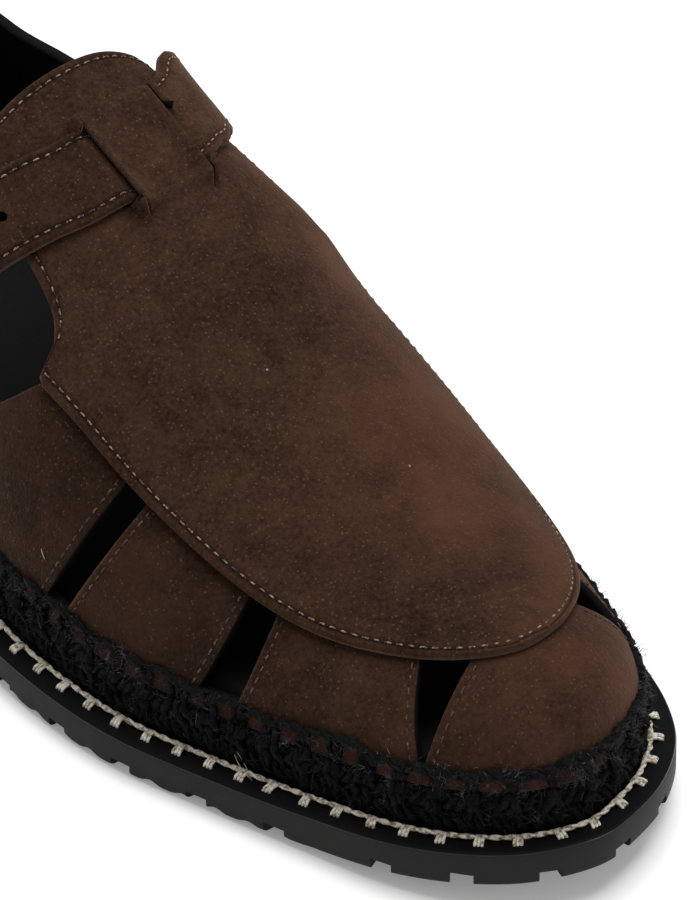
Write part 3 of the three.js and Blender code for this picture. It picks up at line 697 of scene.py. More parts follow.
# along, height of the topline as a share of the collar
TOPLINE = np.array([
    (0.446, 0.935), (0.470, 0.755), (0.500, 0.580), (0.533, 0.488), (0.567, 0.540), (0.600, 0.725),
    (0.633, 0.910), (0.667, 0.975), (0.720, 0.925), (0.783, 0.850), (0.850, 0.870), (0.917, 1.020),
    (1.000, 1.130),
])

# along, lateral and medial edge of the tab as shares of the apron's half width
TAB = np.array([
    (0.4460, 0.990, 1.028), (0.4515, 0.850, 0.930), (0.4680, 0.765, 0.889), (0.5000, 0.712, 0.790),
    (0.5330, 0.685, 0.722), (0.5600, 0.667, 0.630), (0.5740, 0.620, 0.540), (0.5820, 0.470, 0.400),
])

# Corners of the slits as along and turn: front top, back top, back foot, front foot
SLITS = [
    ((0.3357, 44.5), (0.3555, 44.0), (0.3790, 7.0), (0.3575, 8.0)),
    ((0.2267, 44.5), (0.2475, 43.5), (0.2475, 8.5), (0.2190, 10.0)),
    ((0.1067, 65.5), (0.1345, 56.5), (0.0920, 11.0), (0.0890, 11.5)),
    ((0.1150, 128.0), (0.1540, 139.0), (0.1120, 167.0), (0.1060, 167.0)),
    ((0.2370, 136.0), (0.2550, 137.0), (0.2600, 168.0), (0.2360, 168.0)),
    ((0.3430, 136.0), (0.3620, 137.0), (0.3840, 169.0), (0.3630, 168.0)),
]


def column(table, key, at):
    """A cubic through one column of a table whose slopes are harmonic means, so it never swings."""
    x, y = table[:, 0], table[:, key]
    slope = np.diff(y) / np.diff(x)
    tangent = np.concatenate([[slope[0]], np.zeros(len(x) - 2), [slope[-1]]])
    same = slope[:-1] * slope[1:] > 0
    total = np.where(same, slope[:-1] + slope[1:], 1.0)
    tangent[1:-1] = np.where(same, 2 * slope[:-1] * slope[1:] / total, 0.0)
    at = np.clip(at, x[0], x[-1])
    low = np.clip(np.searchsorted(x, at, side="right") - 1, 0, len(x) - 2)
    span = x[low + 1] - x[low]
    s = (at - x[low]) / span
    return (
        y[low] * (1 + 2 * s) * (1 - s) ** 2 + span * tangent[low] * s * (1 - s) ** 2
        + y[low + 1] * s * s * (3 - 2 * s) - span * tangent[low + 1] * s * s * (1 - s)
    )


skin_ring = ring(SKIN_INSET, 24)
skin_half = len(skin_ring) // 2
SIDE_LINES = {
    "lateral": skin_ring[: skin_half + 1],
    "medial": np.vstack([skin_ring[:1], skin_ring[skin_half:][::-1]]),
}
SKIN_TOE, SKIN_HEEL = skin_ring[:, 1].min(), skin_ring[:, 1].max()


def side_at(medial, t):
    """Distance of the feather line from the middle of the shoe, on the inner or outer side."""
    at = np.clip(t, SKIN_TOE, SKIN_HEEL)
    lines = [np.interp(at, np.maximum.accumulate(line[:, 1]), line[:, 0])
             for line in (SIDE_LINES["lateral"], SIDE_LINES["medial"])]
    return np.where(medial, lines[1], lines[0])


def heel_shift(t, height):
    """The heel's back curve bulges low down and leans in towards the collar."""
    share = smooth((t - HEEL_START) / (SKIN_HEEL - HEEL_START))
    return share * height * (HEEL_BULGE - HEEL_LEAN * height / COLLAR)


def power_at(medial, along):
    """Power of the section's curve on the inner or outer side."""
    return np.where(medial, column(SECTIONS, MEDIAL, along), column(SECTIONS, LATERAL, along))


def turn_at_place(t, x):
    """Turn of the last over a place of the plan: the section's curve solved for its turn."""
    ridge = column(SECTIONS, PLACE, t / LENGTH) * BALL_WIDTH
    medial = x >= ridge
    share = np.clip((x - ridge) / (side_at(medial, t) - ridge), 0, 1)
    angle = np.arccos(share ** (power_at(medial, t / LENGTH) / 2))
    return np.where(medial, np.pi - angle, angle)


def turn_at_height(t, height):
    """Turn of the last's point at a height over the rope, on the outer side."""
    share = height / (column(SECTIONS, HEIGHT, t / LENGTH) * INSTEP)
    return np.arcsin(np.minimum(1, share ** (column(SECTIONS, CROWN, t / LENGTH) / 2)))


def last(t, turn):
    """Point of the last: each section is a superellipse that stands on the feather line."""
    t, turn = np.broadcast_arrays(np.asarray(t, float), np.asarray(turn, float))
    along = t / LENGTH
    medial = turn >= np.pi / 2
    ridge = column(SECTIONS, PLACE, along) * BALL_WIDTH
    across = np.abs(np.cos(turn)) ** (2 / power_at(medial, along))
    rise = np.maximum(0, np.sin(turn)) ** (2 / column(SECTIONS, CROWN, along))
    height = column(SECTIONS, HEIGHT, along) * INSTEP * rise
    return np.stack([
        ridge + (side_at(medial, t) - ridge) * across,
        t + heel_shift(t, height),
        midsole_top(t) + CLEAR + height,
    ], -1)


def normal_of(t, turn):
    """Outward unit normal of the last, from small steps along and round it."""
    t, turn = np.broadcast_arrays(np.asarray(t, float), np.asarray(turn, float))
    low, high = np.maximum(turn - 0.01, 0.002), np.minimum(turn + 0.01, np.pi - 0.002)
    normal = np.cross(last(t, high) - last(t, low), last(t + 0.4, turn) - last(t - 0.4, turn))
    return normal / np.maximum(np.linalg.norm(normal, axis=-1, keepdims=True), 1e-9)


def over(t, turn, lift):
    """Point over the last, lifted along its outward normal."""
    return last(t, turn) + normal_of(t, turn) * np.asarray(lift)[..., None]


APRON_TIP = 0.0897 * LENGTH
APRON_MIDDLE = -0.0183 * BALL_WIDTH
ROUND_LENGTH = {"lateral": 0.3 * LENGTH, "medial": 0.233 * LENGTH}
ROUND_POWER = {"lateral": 0.55, "medial": 0.5}
APRON_END = 0.582 * LENGTH
VAMP_END = TAB[0, 0] * LENGTH
LAP_END = 0.08 * LENGTH
BELT_EASE = 30.0


def apron_edge(medial, t, inset=0.0):
    """Plan of the apron: a long round toe, straight sides, and a narrower tab behind the vamp."""
    medial = np.asarray(medial)
    out = np.where(medial, 1, -1)
    tab = np.where(medial, column(TAB, 2, t / LENGTH), column(TAB, 1, t / LENGTH)) * APRON_HALF
    length = np.where(medial, ROUND_LENGTH["medial"], ROUND_LENGTH["lateral"])
    power = np.where(medial, ROUND_POWER["medial"], ROUND_POWER["lateral"])
    full = APRON_HALF * np.where(medial, TAB[0, 2], TAB[0, 1]) - inset
    share = np.clip((t - APRON_TIP - inset) / length, 0, 1)
    vamp = full * (1 - (1 - share) ** 2) ** power
    return APRON_MIDDLE + out * np.where(t > VAMP_END, tab, vamp)


def belt(u, v):
    """Place on the belt as along and turn: u runs round the feather line and v up to the edge."""
    u = np.mod(u, 1.0)
    spots = np.arange(len(skin_ring) + 1) / len(skin_ring)
    loop = np.vstack([skin_ring, skin_ring[:1]])
    foot_x, foot_y = np.interp(u, spots, loop[:, 0]), np.interp(u, spots, loop[:, 1])
    medial = u > 0.5
    t = np.clip(foot_y, SKIN_TOE, SKIN_HEEL)
    rear_turn = turn_at_height(t, column(TOPLINE, 1, t / LENGTH) * COLLAR) * v
    rear_turn = np.where(medial, np.pi - rear_turn, rear_turn)
    left = np.clip(1 - (t - SKIN_TOE) / (VAMP_END - SKIN_TOE), 0, 1)
    lap = APRON_LAP * smooth((VAMP_END - t) / LAP_END)
    lap_tip = APRON_TIP + APRON_LAP
    lap_t = t + (lap_tip - SKIN_TOE) * left**2
    lap_x = apron_edge(medial, np.minimum(np.maximum(lap_t, lap_tip), VAMP_END), lap)
    at = t + (lap_t - t) * v**2
    front_turn = turn_at_place(at, foot_x + (lap_x - foot_x) * v**2)
    top_turn = turn_at_place(lap_t, lap_x)
    even = np.where(medial, np.pi - (np.pi - top_turn) * v, top_turn * v)
    share = smooth((VAMP_END - t) / BELT_EASE)
    front_turn = front_turn * share + even * (1 - share)
    front = t < VAMP_END
    return np.where(front, at, t), np.where(front, front_turn, rear_turn)


def slit_line(front, down, slit, aside=0.0):
    """One long edge of a slit from its top, which reaches under the apron, to its foot: a line
    bowed towards the toe."""
    top, foot = (slit[0], slit[3]) if front else (slit[1], slit[2])
    under = (CUT_UNDER if top[1] < 90 else -CUT_UNDER) * (1 - down)
    turn = top[1] + (foot[1] - top[1]) * down + under
    along = top[0] + (foot[0] - top[0]) * down - CUT_BOW * 4 * down * (1 - down)
    return along * LENGTH + aside, np.radians(turn)


BELT_COLUMNS = 760
SLIT_FOOT, SLIT_TOP, BELT_TOP = 12, 36, 44
FINE_COLUMNS, FINE_ROWS = 1520, 120


def slit_knots():
    """Where each slit edge crosses the belt: its u for every v, found on a fine grid."""
    u, v = np.meshgrid(np.arange(FINE_COLUMNS) / FINE_COLUMNS,
                       np.linspace(0, 1, FINE_ROWS + 1), indexing="ij")
    grid = last(*belt(u, v))
    down = np.linspace(1, 0, 13)
    knots = []
    for slit in SLITS:
        for front in (True, False):
            path = last(*slit_line(front, down, slit))
            found = []
            for spot in path:
                near = np.linalg.norm(grid - spot, axis=-1)
                i, j = np.unravel_index(near.argmin(), near.shape)
                j = min(max(j, 1), FINE_ROWS - 1)
                step_u = (grid[(i + 1) % FINE_COLUMNS, j] - grid[i - 1, j]) / 2
                step_v = (grid[i, j + 1] - grid[i, j - 1]) / 2
                steps = np.stack([step_u, step_v], 1)
                move = np.linalg.lstsq(steps, spot - grid[i, j], rcond=None)[0]
                found.append(((i + move[0]) / FINE_COLUMNS, (j + move[1]) / FINE_ROWS))
            knots.append(np.array(found))
    return sorted(knots, key=lambda k: k[:, 0].mean())


def belt_grid():
    """Grid of the belt whose columns follow the slits' edges and whose rows meet their ends."""
    knots = slit_knots()
    marks = [int(round(k[:, 0].mean() * BELT_COLUMNS)) for k in knots]
    c = np.arange(BELT_COLUMNS)
    rear_low = int(BELT_COLUMNS * 0.28)
    anchors = [0, *marks[:6], rear_low, BELT_COLUMNS - rear_low, *marks[6:], BELT_COLUMNS]
    feet = [0.3, *[k[0, 1] for k in knots[:6]], 0.25, 0.25, *[k[0, 1] for k in knots[6:]], 0.3]
    tops = [0.9, *[k[-1, 1] for k in knots[:6]], 0.8, 0.8, *[k[-1, 1] for k in knots[6:]], 0.9]
    foot_v, top_v = np.interp(c, anchors, feet), np.interp(c, anchors, tops)
    rows = np.arange(BELT_TOP + 1)[:, None]
    v = np.where(
        rows <= SLIT_FOOT, foot_v * rows / SLIT_FOOT,
        np.where(
            rows <= SLIT_TOP,
            foot_v + (top_v - foot_v) * (rows - SLIT_FOOT) / (SLIT_TOP - SLIT_FOOT),
            top_v + (1 - top_v) * (rows - SLIT_TOP) / (BELT_TOP - SLIT_TOP),
        ),
    )
    toe, rear, far_rear, end = (np.full(v.shape, mark / BELT_COLUMNS)
                                for mark in (0, rear_low, BELT_COLUMNS - rear_low, BELT_COLUMNS))
    bent = [np.interp(v, k[:, 1], k[:, 0]) for k in knots]
    lines = np.array([toe, *bent[:6], rear, far_rear, *bent[6:], end])
    anchors = np.array(anchors)
    low = np.clip(np.searchsorted(anchors, c, side="right") - 1, 0, len(anchors) - 2)
    share = (c - anchors[low]) / (anchors[low + 1] - anchors[low])
    u = lines[low, :, c].T * (1 - share) + lines[low + 1, :, c].T * share
    kept = np.ones((BELT_TOP, BELT_COLUMNS), bool)
    for n in range(0, 12, 2):
        kept[SLIT_FOOT:SLIT_TOP, marks[n]:marks[n + 1]] = False
    return *belt(u, v), kept


def belt_normals(grid):
    """Unit normals of the belt: the way up crossed with the way round, and level along its foot."""
    along = np.roll(grid, -1, axis=1) - np.roll(grid, 1, axis=1)
    normal = np.cross(np.gradient(grid, axis=0), along)
    normal /= np.maximum(np.linalg.norm(normal, axis=-1, keepdims=True), 1e-9)
    normal[0, :, 2] = 0
    normal /= np.linalg.norm(normal, axis=-1, keepdims=True)
    outer_side = normal[BELT_TOP // 2, BELT_COLUMNS // 4, 0]
    return -normal if outer_side > 0 else normal


def sheet_solid(outer, inner, kept, closed=False):
    """Closed sheet from two grids: outer face, inner face and a rim round every open edge. Finish 0
    is the outer face, 1 the inner face and 2 the rim."""
    rows, columns = outer.shape[:2]
    r, c = np.nonzero(kept)
    after = (c + 1) % columns
    corner = [r * columns + c, r * columns + after,
              (r + 1) * columns + after, (r + 1) * columns + c]
    inside = rows * columns
    front = np.stack(corner, 1)
    faces, which = [front, front[:, ::-1] + inside], [np.zeros(len(r)), np.ones(len(r))]
    sides = {
        (0, 1): np.vstack([np.zeros((1, kept.shape[1]), bool), kept[:-1]]),
        (2, 3): np.vstack([kept[1:], np.zeros((1, kept.shape[1]), bool)]),
        (1, 2): np.roll(kept, -1, axis=1),
        (3, 0): np.roll(kept, 1, axis=1),
    }
    if not closed:
        sides[1, 2][:, -1] = False
        sides[3, 0][:, 0] = False
    for (a, b), beside in sides.items():
        free = ~beside[r, c]
        first, second = corner[a][free], corner[b][free]
        faces.append(np.stack([second, first, first + inside, second + inside], 1))
        which.append(np.full(free.sum(), 2))
    points = np.concatenate([outer.reshape(-1, 3), inner.reshape(-1, 3)])
    faces = np.vstack(faces)
    p0, p1, p2, p3 = (points[faces[:, n]] for n in range(4))
    if (p0 * np.cross(p1, p2)).sum() + (p0 * np.cross(p2, p3)).sum() < 0:
        faces = faces[:, ::-1]
    return points, faces, np.concatenate(which)


# cells to the metre, reach in a cell, share of the cells, strength and colour: two sizes of golden
# nap specks and a little pale lint
SPECKS = (
    (1300.0, 0.36, 0.25, 0.55, srgb(96, 76, 54)), (620.0, 0.13, 0.1, 0.4, srgb(132, 106, 76)),
    (160.0, 0.05, 0.1, 0.6, srgb(180, 168, 150)),
)


def suede_finish(name, dark, light, specks=()):
    """Napped leather: cloudy olive brown that reddens where the piece says foot, turns lighter and
    redder where its blush value says, which is partly rubbed nap and partly painted sheen, and
    darkens where its seam value says, which is painted shade in the seam troughs and on shaded
    parts."""
    suede = Finish(name, Roughness=0.95, Specular_IOR_Level=0.04, Sheen_Weight=0.2,
                   Sheen_Roughness=0.4, Sheen_Tint=(0.8, 0.5, 0.38, 1.0))
    cloud = suede.noise(26.0, 4.0, 0.6)
    brushed = suede.noise(150.0, 5.0, 0.7)
    nap = suede.noise(1150.0, 3.0, 0.75)
    shade = cloud * 0.3 + brushed * 0.3 + nap * 0.4
    body = suede.blend(dark, light, shade.ramp(0.34, 0.66))
    warm = suede.noise(19.0, 3.0, 0.6).ramp(0.5, 0.72)
    # random warmth plus the piece's blush value, which is partly rubbed nap and partly painted
    # sheen
    blush_and_sheen = warm * 0.35 + suede.value("blush_and_sheen") * (brushed * 0.8 + 0.15)
    body = suede.blend(body, srgb(86, 55, 41), blush_and_sheen)
    body = suede.blend(body, srgb(66, 38, 33), suede.value("foot") * 0.6)
    # painted shade: near black where the piece's seam value says
    body = suede.blend(body, srgb(14, 9, 7), suede.value("seam_and_shade") * 0.75)
    for scale, reach, share, strength, colour in specks:
        body = suede.blend(body, colour, suede.dots(scale, reach, share) * strength)
    suede.feed(
        Base_Color=body,
        Normal=suede.bump(nap, 0.0005, 0.6, suede.bump(brushed, 0.0008, 0.35)),
    )
    return suede


suede = suede_finish("brown_suede", srgb(34, 22, 16), srgb(72, 51, 38), SPECKS)
# the cut edges' suede is lighter: partly the edge's own colour, partly a painted highlight
suede_edge_and_highlight = suede_finish("cut_edge_and_highlight", srgb(48, 34, 28), srgb(86, 66, 55))

belt_t, belt_turn, belt_kept = belt_grid()
belt_outer = last(belt_t, belt_turn)
belt_inner = belt_outer - belt_normals(belt_outer) * WALL
upper_points, upper_faces, upper_which = sheet_solid(belt_outer, belt_inner, belt_kept, True)
belt_steps = np.diff(belt_outer, axis=0, prepend=belt_outer[:1])
belt_rise = np.cumsum(np.linalg.norm(belt_steps, axis=2), axis=0)
belt_foot = np.clip(1.3 - belt_rise / FOOT_BLUSH, 0, 1)
# the belt is lighter and redder towards the toe: partly its own blush, partly painted sheen
belt_blush_and_sheen = 0.25 * smooth((0.17 * LENGTH - belt_t) / 25)
# painted shade: the belt is darkened a little everywhere and more towards the heel, where its
# quarters lie in shade
belt_painted_shade = 0.12 + 0.32 * smooth((belt_t - 0.35 * VAMP_END) / 40)
put("upper_suede", upper_points, upper_faces, [suede, lining_black, lining_black],
    slot="suede", replaces=("upper",), which=upper_which,
    values={"foot": [belt_foot, belt_foot], "blush_and_sheen": [belt_blush_and_sheen, belt_blush_and_sheen],
            "seam_and_shade": [belt_painted_shade, belt_painted_shade]})

# Apron
# One long plug of the same suede over the instep, sewn to the vamp. Behind the vamp it narrows to
# a free tab with two slots, and the bridge between them holds the strap down.
APRON_THICK = 1.8
CURVED_CLEAR = 0.35
BRIDGE_CLEAR = 0.7
STRAP_THICK = 2.0
SLOT_WIDTH = 3.4
APRON_SEAM = 1.6
SLOT_LIFT = 1.25
BRIDGE_SINK = 1.0
SLOT_FRONT = {"along": 0.468, "lateral": -0.070, "medial": 0.095}
SLOT_BACK = {"along": 0.551, "lateral": -0.083, "medial": 0.082}
SLOT_LIPS = 0.2
VAMP_ROWS, SLOT_ROWS, TAB_ROWS = 120, 40, 21
APRON_COLUMNS = (34, 4, 22, 4, 28)

# shares of the slot's length between which the strap holds it open
SLOT_OPEN = {"lateral": (0.09, 0.84), "medial": (0.15, 0.74)}


def slot_share(t):
    """Place between the slots' front and rear ends, from nought to one."""
    return (t / LENGTH - SLOT_FRONT["along"]) / (SLOT_BACK["along"] - SLOT_FRONT["along"])


def slot_x(side, share):
    """Middle line of a slot, straight from its front end to its rear end."""
    return (SLOT_FRONT[side] + (SLOT_BACK[side] - SLOT_FRONT[side]) * share) * BALL_WIDTH


def strap_lift(t, x, route):
    """Height of the strap's inner face over the last: it dips under the bridge."""
    share = slot_share(t)
    reach, start = 1.6 * SLOT_WIDTH, 0.2 * SLOT_WIDTH
    dip = np.minimum(smooth((x - slot_x("lateral", share) + start) / reach),
                     smooth((slot_x("medial", share) + start - x) / reach))
    return route * STRAP_THICK * (1 - dip) - BRIDGE_SINK * dip


def apron_grid():
    """Rows across the apron whose columns meet both slots; between them it rises as a bridge."""
    slot_t = [SLOT_FRONT["along"] * LENGTH, SLOT_BACK["along"] * LENGTH]
    start = APRON_TIP + 0.02
    vamp = start + (slot_t[0] - start) * np.linspace(0, 1, VAMP_ROWS) ** 1.7
    slots = np.linspace(*slot_t, SLOT_ROWS + 1)[1:]
    behind = (1 - (1 - np.linspace(0, 1, TAB_ROWS + 1)) ** 1.5)[1:]
    tab = slot_t[1] + (APRON_END - slot_t[1]) * behind
    rows = np.concatenate([vamp, slots, tab])
    t = rows[:, None]
    low, high = apron_edge(False, rows), apron_edge(True, rows)
    share = np.clip(slot_share(rows), 0, 1)
    near = smooth(1 - np.abs(slot_share(rows) - share))
    knots = [low]
    for side, sign, even, drawn in (("lateral", -1, 0.40, 1), ("lateral", 1, 0.46, 0),
                                    ("medial", -1, 0.66, 0), ("medial", 1, 0.72, -1)):
        front, rear = SLOT_OPEN[side]
        held = smooth(np.minimum(share - front, rear - share) / 0.1)
        closed = np.maximum(0, SLOT_WIDTH * (1 - held) - SLOT_LIPS)
        real = slot_x(side, share) + sign * SLOT_WIDTH / 2 + drawn * closed
        knots.append(real * near + (low + (high - low) * even) * (1 - near))
    knots.append(high)
    parts = []
    for n, count in enumerate(APRON_COLUMNS):
        s = np.linspace(0, 1, count + 1)[(0 if n == 0 else 1):]
        if n == 0:
            s = s**1.4
        if n == len(APRON_COLUMNS) - 1:
            s = 1 - (1 - s) ** 1.4
        parts.append(knots[n][:, None] + (knots[n + 1] - knots[n])[:, None] * s)
    x = np.hstack(parts)
    edges = np.cumsum(APRON_COLUMNS)
    kept = np.ones((len(rows) - 1, x.shape[1] - 1), bool)
    along_slots = slice(VAMP_ROWS - 1, VAMP_ROWS - 1 + SLOT_ROWS)
    kept[along_slots, edges[0]:edges[1]] = False
    kept[along_slots, edges[2]:edges[3]] = False
    raised = smooth(np.minimum(slot_share(t), 1 - slot_share(t)) / 0.09)
    between = (x > slot_x("lateral", slot_share(t))) & (x < slot_x("medial", slot_share(t)))
    lift = strap_lift(t, x, SLOT_LIFT) + STRAP_THICK + BRIDGE_CLEAR - CURVED_CLEAR
    rise = np.where(between, raised * np.maximum(0, lift), 0)
    return np.broadcast_to(t, x.shape), x, rise, kept, low[:, None], high[:, None]


# along, across, reach along, reach across, height of the worn-in apron's ridges and troughs
FOLDS = (
    (0.215, 0.02, 9.0, 22.0, -0.35), (0.265, -0.05, 11.0, 26.0, 0.30),
    (0.335, 0.10, 10.0, 20.0, -0.40), (0.395, -0.08, 12.0, 24.0, 0.30),
    (0.450, 0.15, 8.0, 10.0, -0.45), (0.440, -0.12, 9.0, 14.0, -0.30),
    (0.570, 0.00, 8.0, 16.0, -0.40), (0.455, 0.20, 5.0, 8.0, 0.30),
    (0.456, 0.29, 6.0, 6.0, 1.50), (0.424, 0.27, 5.0, 6.0, -0.40),
)

# the same for the places where the nap is lighter and redder, with their strength: partly rubbed
# nap and partly painted sheen
RUBBED_AND_SHEEN = (
    (0.234, 0.08, 15.0, 9.0, 0.8), (0.314, 0.20, 22.0, 7.0, 0.6), (0.106, 0.10, 9.0, 12.0, 0.6),
    (0.200, 0.03, 7.0, 10.0, 0.6), (0.429, 0.24, 16.0, 6.0, 0.8), (0.242, -0.14, 12.0, 8.0, 0.3),
    (0.520, 0.24, 14.0, 7.0, 0.6), (0.160, 0.16, 14.0, 7.0, 0.7),
)

# the same for the places where the nap lies the dark way
LAID = (
    (0.372, -0.04, 22.0, 12.0, 0.16), (0.379, -0.26, 18.0, 6.0, 0.14),
    (0.200, -0.11, 9.0, 9.0, 0.30), (0.150, 0.02, 5.0, 10.0, 0.28),
    (0.262, 0.13, 8.0, 6.0, 0.20), (0.180, 0.12, 6.0, 5.0, 0.30),
)


def spots(table, t, x):
    """Sum of round hills of the apron: each falls off from its place as a bell curve both ways."""
    total = 0.0
    for at, aside, long, wide, size in table:
        total = total + size * np.exp(-(((t - at * LENGTH) / long) ** 2)
                                      - ((x - aside * BALL_WIDTH) / wide) ** 2)
    return total


apron_t, apron_x, apron_rise, apron_kept, apron_low, apron_high = apron_grid()
apron_turn = turn_at_place(apron_t, apron_x)
to_edge = np.minimum(apron_x - apron_low, apron_high - apron_x)
to_edge = np.minimum(to_edge, np.minimum((apron_t - APRON_TIP) * 1.5, APRON_END - apron_t))
shoulder = 0.55 * np.clip(1 - to_edge / 0.9, 0, 1) ** 2
inner_lift = CURVED_CLEAR + apron_rise
fold_share = np.clip(to_edge / 12.0, 0, 1)
# the seam line is a shallow trough, and its colour is darkened with painted shade
seam_and_shade = np.exp(-(((to_edge - APRON_SEAM) / 0.4) ** 2))
outer_lift = inner_lift + APRON_THICK - shoulder + spots(FOLDS, apron_t, apron_x) * fold_share
apron_outer = over(apron_t, apron_turn, outer_lift - 0.2 * seam_and_shade)
apron_inner = over(apron_t, apron_turn, inner_lift)
points, faces, which = sheet_solid(apron_outer, apron_inner, apron_kept)
rim = points[faces].mean(1)
# behind the toe the cut edge of the inner side takes the black lining's finish as painted shade,
# as it lies in its own shadow there
which[(which == 2) & (rim[:, 0] > 0) & (rim[:, 1] > 0.25 * LENGTH)] = 1
# lighter, redder patches: partly rubbed nap, partly painted sheen
rubbed_and_sheen = np.clip(spots(RUBBED_AND_SHEEN, apron_t, apron_x), 0, 1)
# painted shade along the seam, and the patches where the nap lies the dark way
shade = seam_and_shade + spots(LAID, apron_t, apron_x)
put("apron_suede", points, faces, [suede, lining_black, suede_edge_and_highlight],
    slot="suede", replaces=("apron",), which=which,
    values={"seam_and_shade": [shade, shade], "blush_and_sheen": [rubbed_and_sheen, rubbed_and_sheen]})

# Strap
# A band of two suede layers sewn along both edges. It leaves the inner quarter, dives through the
# slots under the bridge and ends on the outer quarter, with a row of round holes drawn as black
# discs of painted shade.
STRAP_WIDTH = 18.4
STRAP_FLARE = 1.4
STRAP_SEAM = 1.8
TIP_TAPER = 9.0
TIP_FLAT = 0.6
# painted shade on the strap's outer half
STRAP_PAINTED_SHADE = 0.25
STRAP_STEP = 0.7
STRAP_COLUMNS = 29
HOLES = 3
HOLE_PITCH = 9.0
FIRST_HOLE = 57.5
HOLE_RADIUS = 1.1
HOLE_SIDES = 16
HOLE_LIFT = 0.03

# turn, along, lift of the inner face and stand-off of the rear edge as shares of the thickness
STRAP_ROUTE = np.array([
    (14.0, 0.7000, 0.20, 0.0), (18.0, 0.6640, 0.20, 0.0), (22.0, 0.6300, 0.20, 0.0),
    (26.0, 0.6030, 0.25, 0.0), (30.0, 0.5860, 0.45, 0.0), (40.0, 0.5600, 0.95, 0.0),
    (50.0, 0.5420, 1.25, 0.0), (65.0, 0.5220, 1.25, 0.0), (75.0, 0.5120, 1.25, 0.0),
    (90.0, 0.5085, 1.25, 0.0), (108.0, 0.5260, 1.25, 0.3), (118.0, 0.5440, 1.30, 1.1),
    (130.0, 0.5630, 1.40, 1.2), (140.0, 0.5840, 1.20, 0.7), (150.0, 0.6080, 0.60, 0.0),
    (156.0, 0.6360, 0.25, 0.0), (160.0, 0.6670, 0.20, 0.0), (163.0, 0.7000, 0.20, 0.0),
])
ROUTE_ALONG, ROUTE_LIFT, ROUTE_REAR = 1, 2, 3


def route_spot(degrees):
    """Point of the last under the strap's middle line at a turn."""
    return last(column(STRAP_ROUTE, ROUTE_ALONG, degrees) * LENGTH, np.radians(degrees))


def strap_turns(step):
    """Turns at even steps along the strap's middle line."""
    fine = np.arange(STRAP_ROUTE[0, 0], STRAP_ROUTE[-1, 0], 0.02)
    run = run_along(route_spot(fine))
    return np.interp(np.linspace(0, run[-1], int(run[-1] / step)), run, fine)


def strap_half(degrees):
    """Half the width along the shoe that keeps the band's true width square to its route."""
    path = route_spot(degrees + 0.5) - route_spot(degrees)
    path /= np.linalg.norm(path, axis=-1, keepdims=True)
    t = column(STRAP_ROUTE, ROUTE_ALONG, degrees) * LENGTH
    lengthwise = last(t + 1, np.radians(degrees)) - last(t, np.radians(degrees))
    square = np.linalg.norm(np.cross(path, lengthwise), axis=-1)
    return STRAP_WIDTH / 2 / np.maximum(square, 0.4)


def strap_point(degrees, across, rise):
    """Point on the band: across runs from minus one at its toe edge to one at its heel edge."""
    place = column(STRAP_ROUTE, ROUTE_ALONG, degrees) * LENGTH
    spot = route_spot(degrees)
    tips = route_spot(STRAP_ROUTE[[0, -1], 0])
    from_tip = np.minimum(*(np.linalg.norm(spot - tip, axis=-1) for tip in tips))
    taper = np.sqrt(1 - (1 - np.minimum(1, (from_tip + TIP_FLAT) / TIP_TAPER)) ** 2)
    stand = column(STRAP_ROUTE, ROUTE_REAR, degrees) * (across + 1) / 2
    t = place + strap_half(degrees) * taper * across + stand * STRAP_FLARE
    turn = np.radians(degrees)
    x = last(t, turn)[..., 0]
    route = column(STRAP_ROUTE, ROUTE_LIFT, degrees) + stand
    return over(t, turn, strap_lift(t, x, route) + rise)


even = np.linspace(-1, 1, STRAP_COLUMNS)
strap_across = np.sin(even * np.pi / 2) * 0.35 + even * 0.65
degrees, across = np.meshgrid(strap_turns(STRAP_STEP), strap_across, indexing="ij")
edge_round = 0.5 * np.clip((np.abs(across) - 0.93) / 0.07, 0, 1) ** 2
# a shallow trough along each seam, whose colour is darkened with painted shade
seam_and_shade = np.exp(-((((1 - np.abs(across)) * STRAP_WIDTH / 2 - STRAP_SEAM) / 0.5) ** 2))
strap_outer = strap_point(degrees, across, STRAP_THICK - edge_round - 0.16 * seam_and_shade)
strap_inner = strap_point(degrees, across, edge_round * 0.5)
strap_kept = np.ones(np.array(degrees.shape) - 1, bool)
points, faces, which = sheet_solid(strap_outer, strap_inner, strap_kept)
# painted shade: the strap's outer half, under 90 degrees of turn, is darker, over the darkened seam
# troughs
shade = seam_and_shade + STRAP_PAINTED_SHADE * (degrees < 90)
# a lighter, redder patch on the inner side: partly rubbed nap, partly painted sheen
rubbed_and_sheen = 0.5 * np.exp(-(((degrees - 122) / 9) ** 2))
put("strap_suede", points, faces, [suede, lining_black, suede_edge_and_highlight],
    slot="suede", replaces=("strap",), which=which,
    values={"seam_and_shade": [shade, shade], "blush_and_sheen": [rubbed_and_sheen, rubbed_and_sheen]})

# the holes are black discs of painted shade
hole_painted_shade = Finish("punched_hole_shade", Roughness=1.0, Specular_IOR_Level=0.0)
hole_painted_shade.feed(Base_Color=srgb(0, 0, 0))


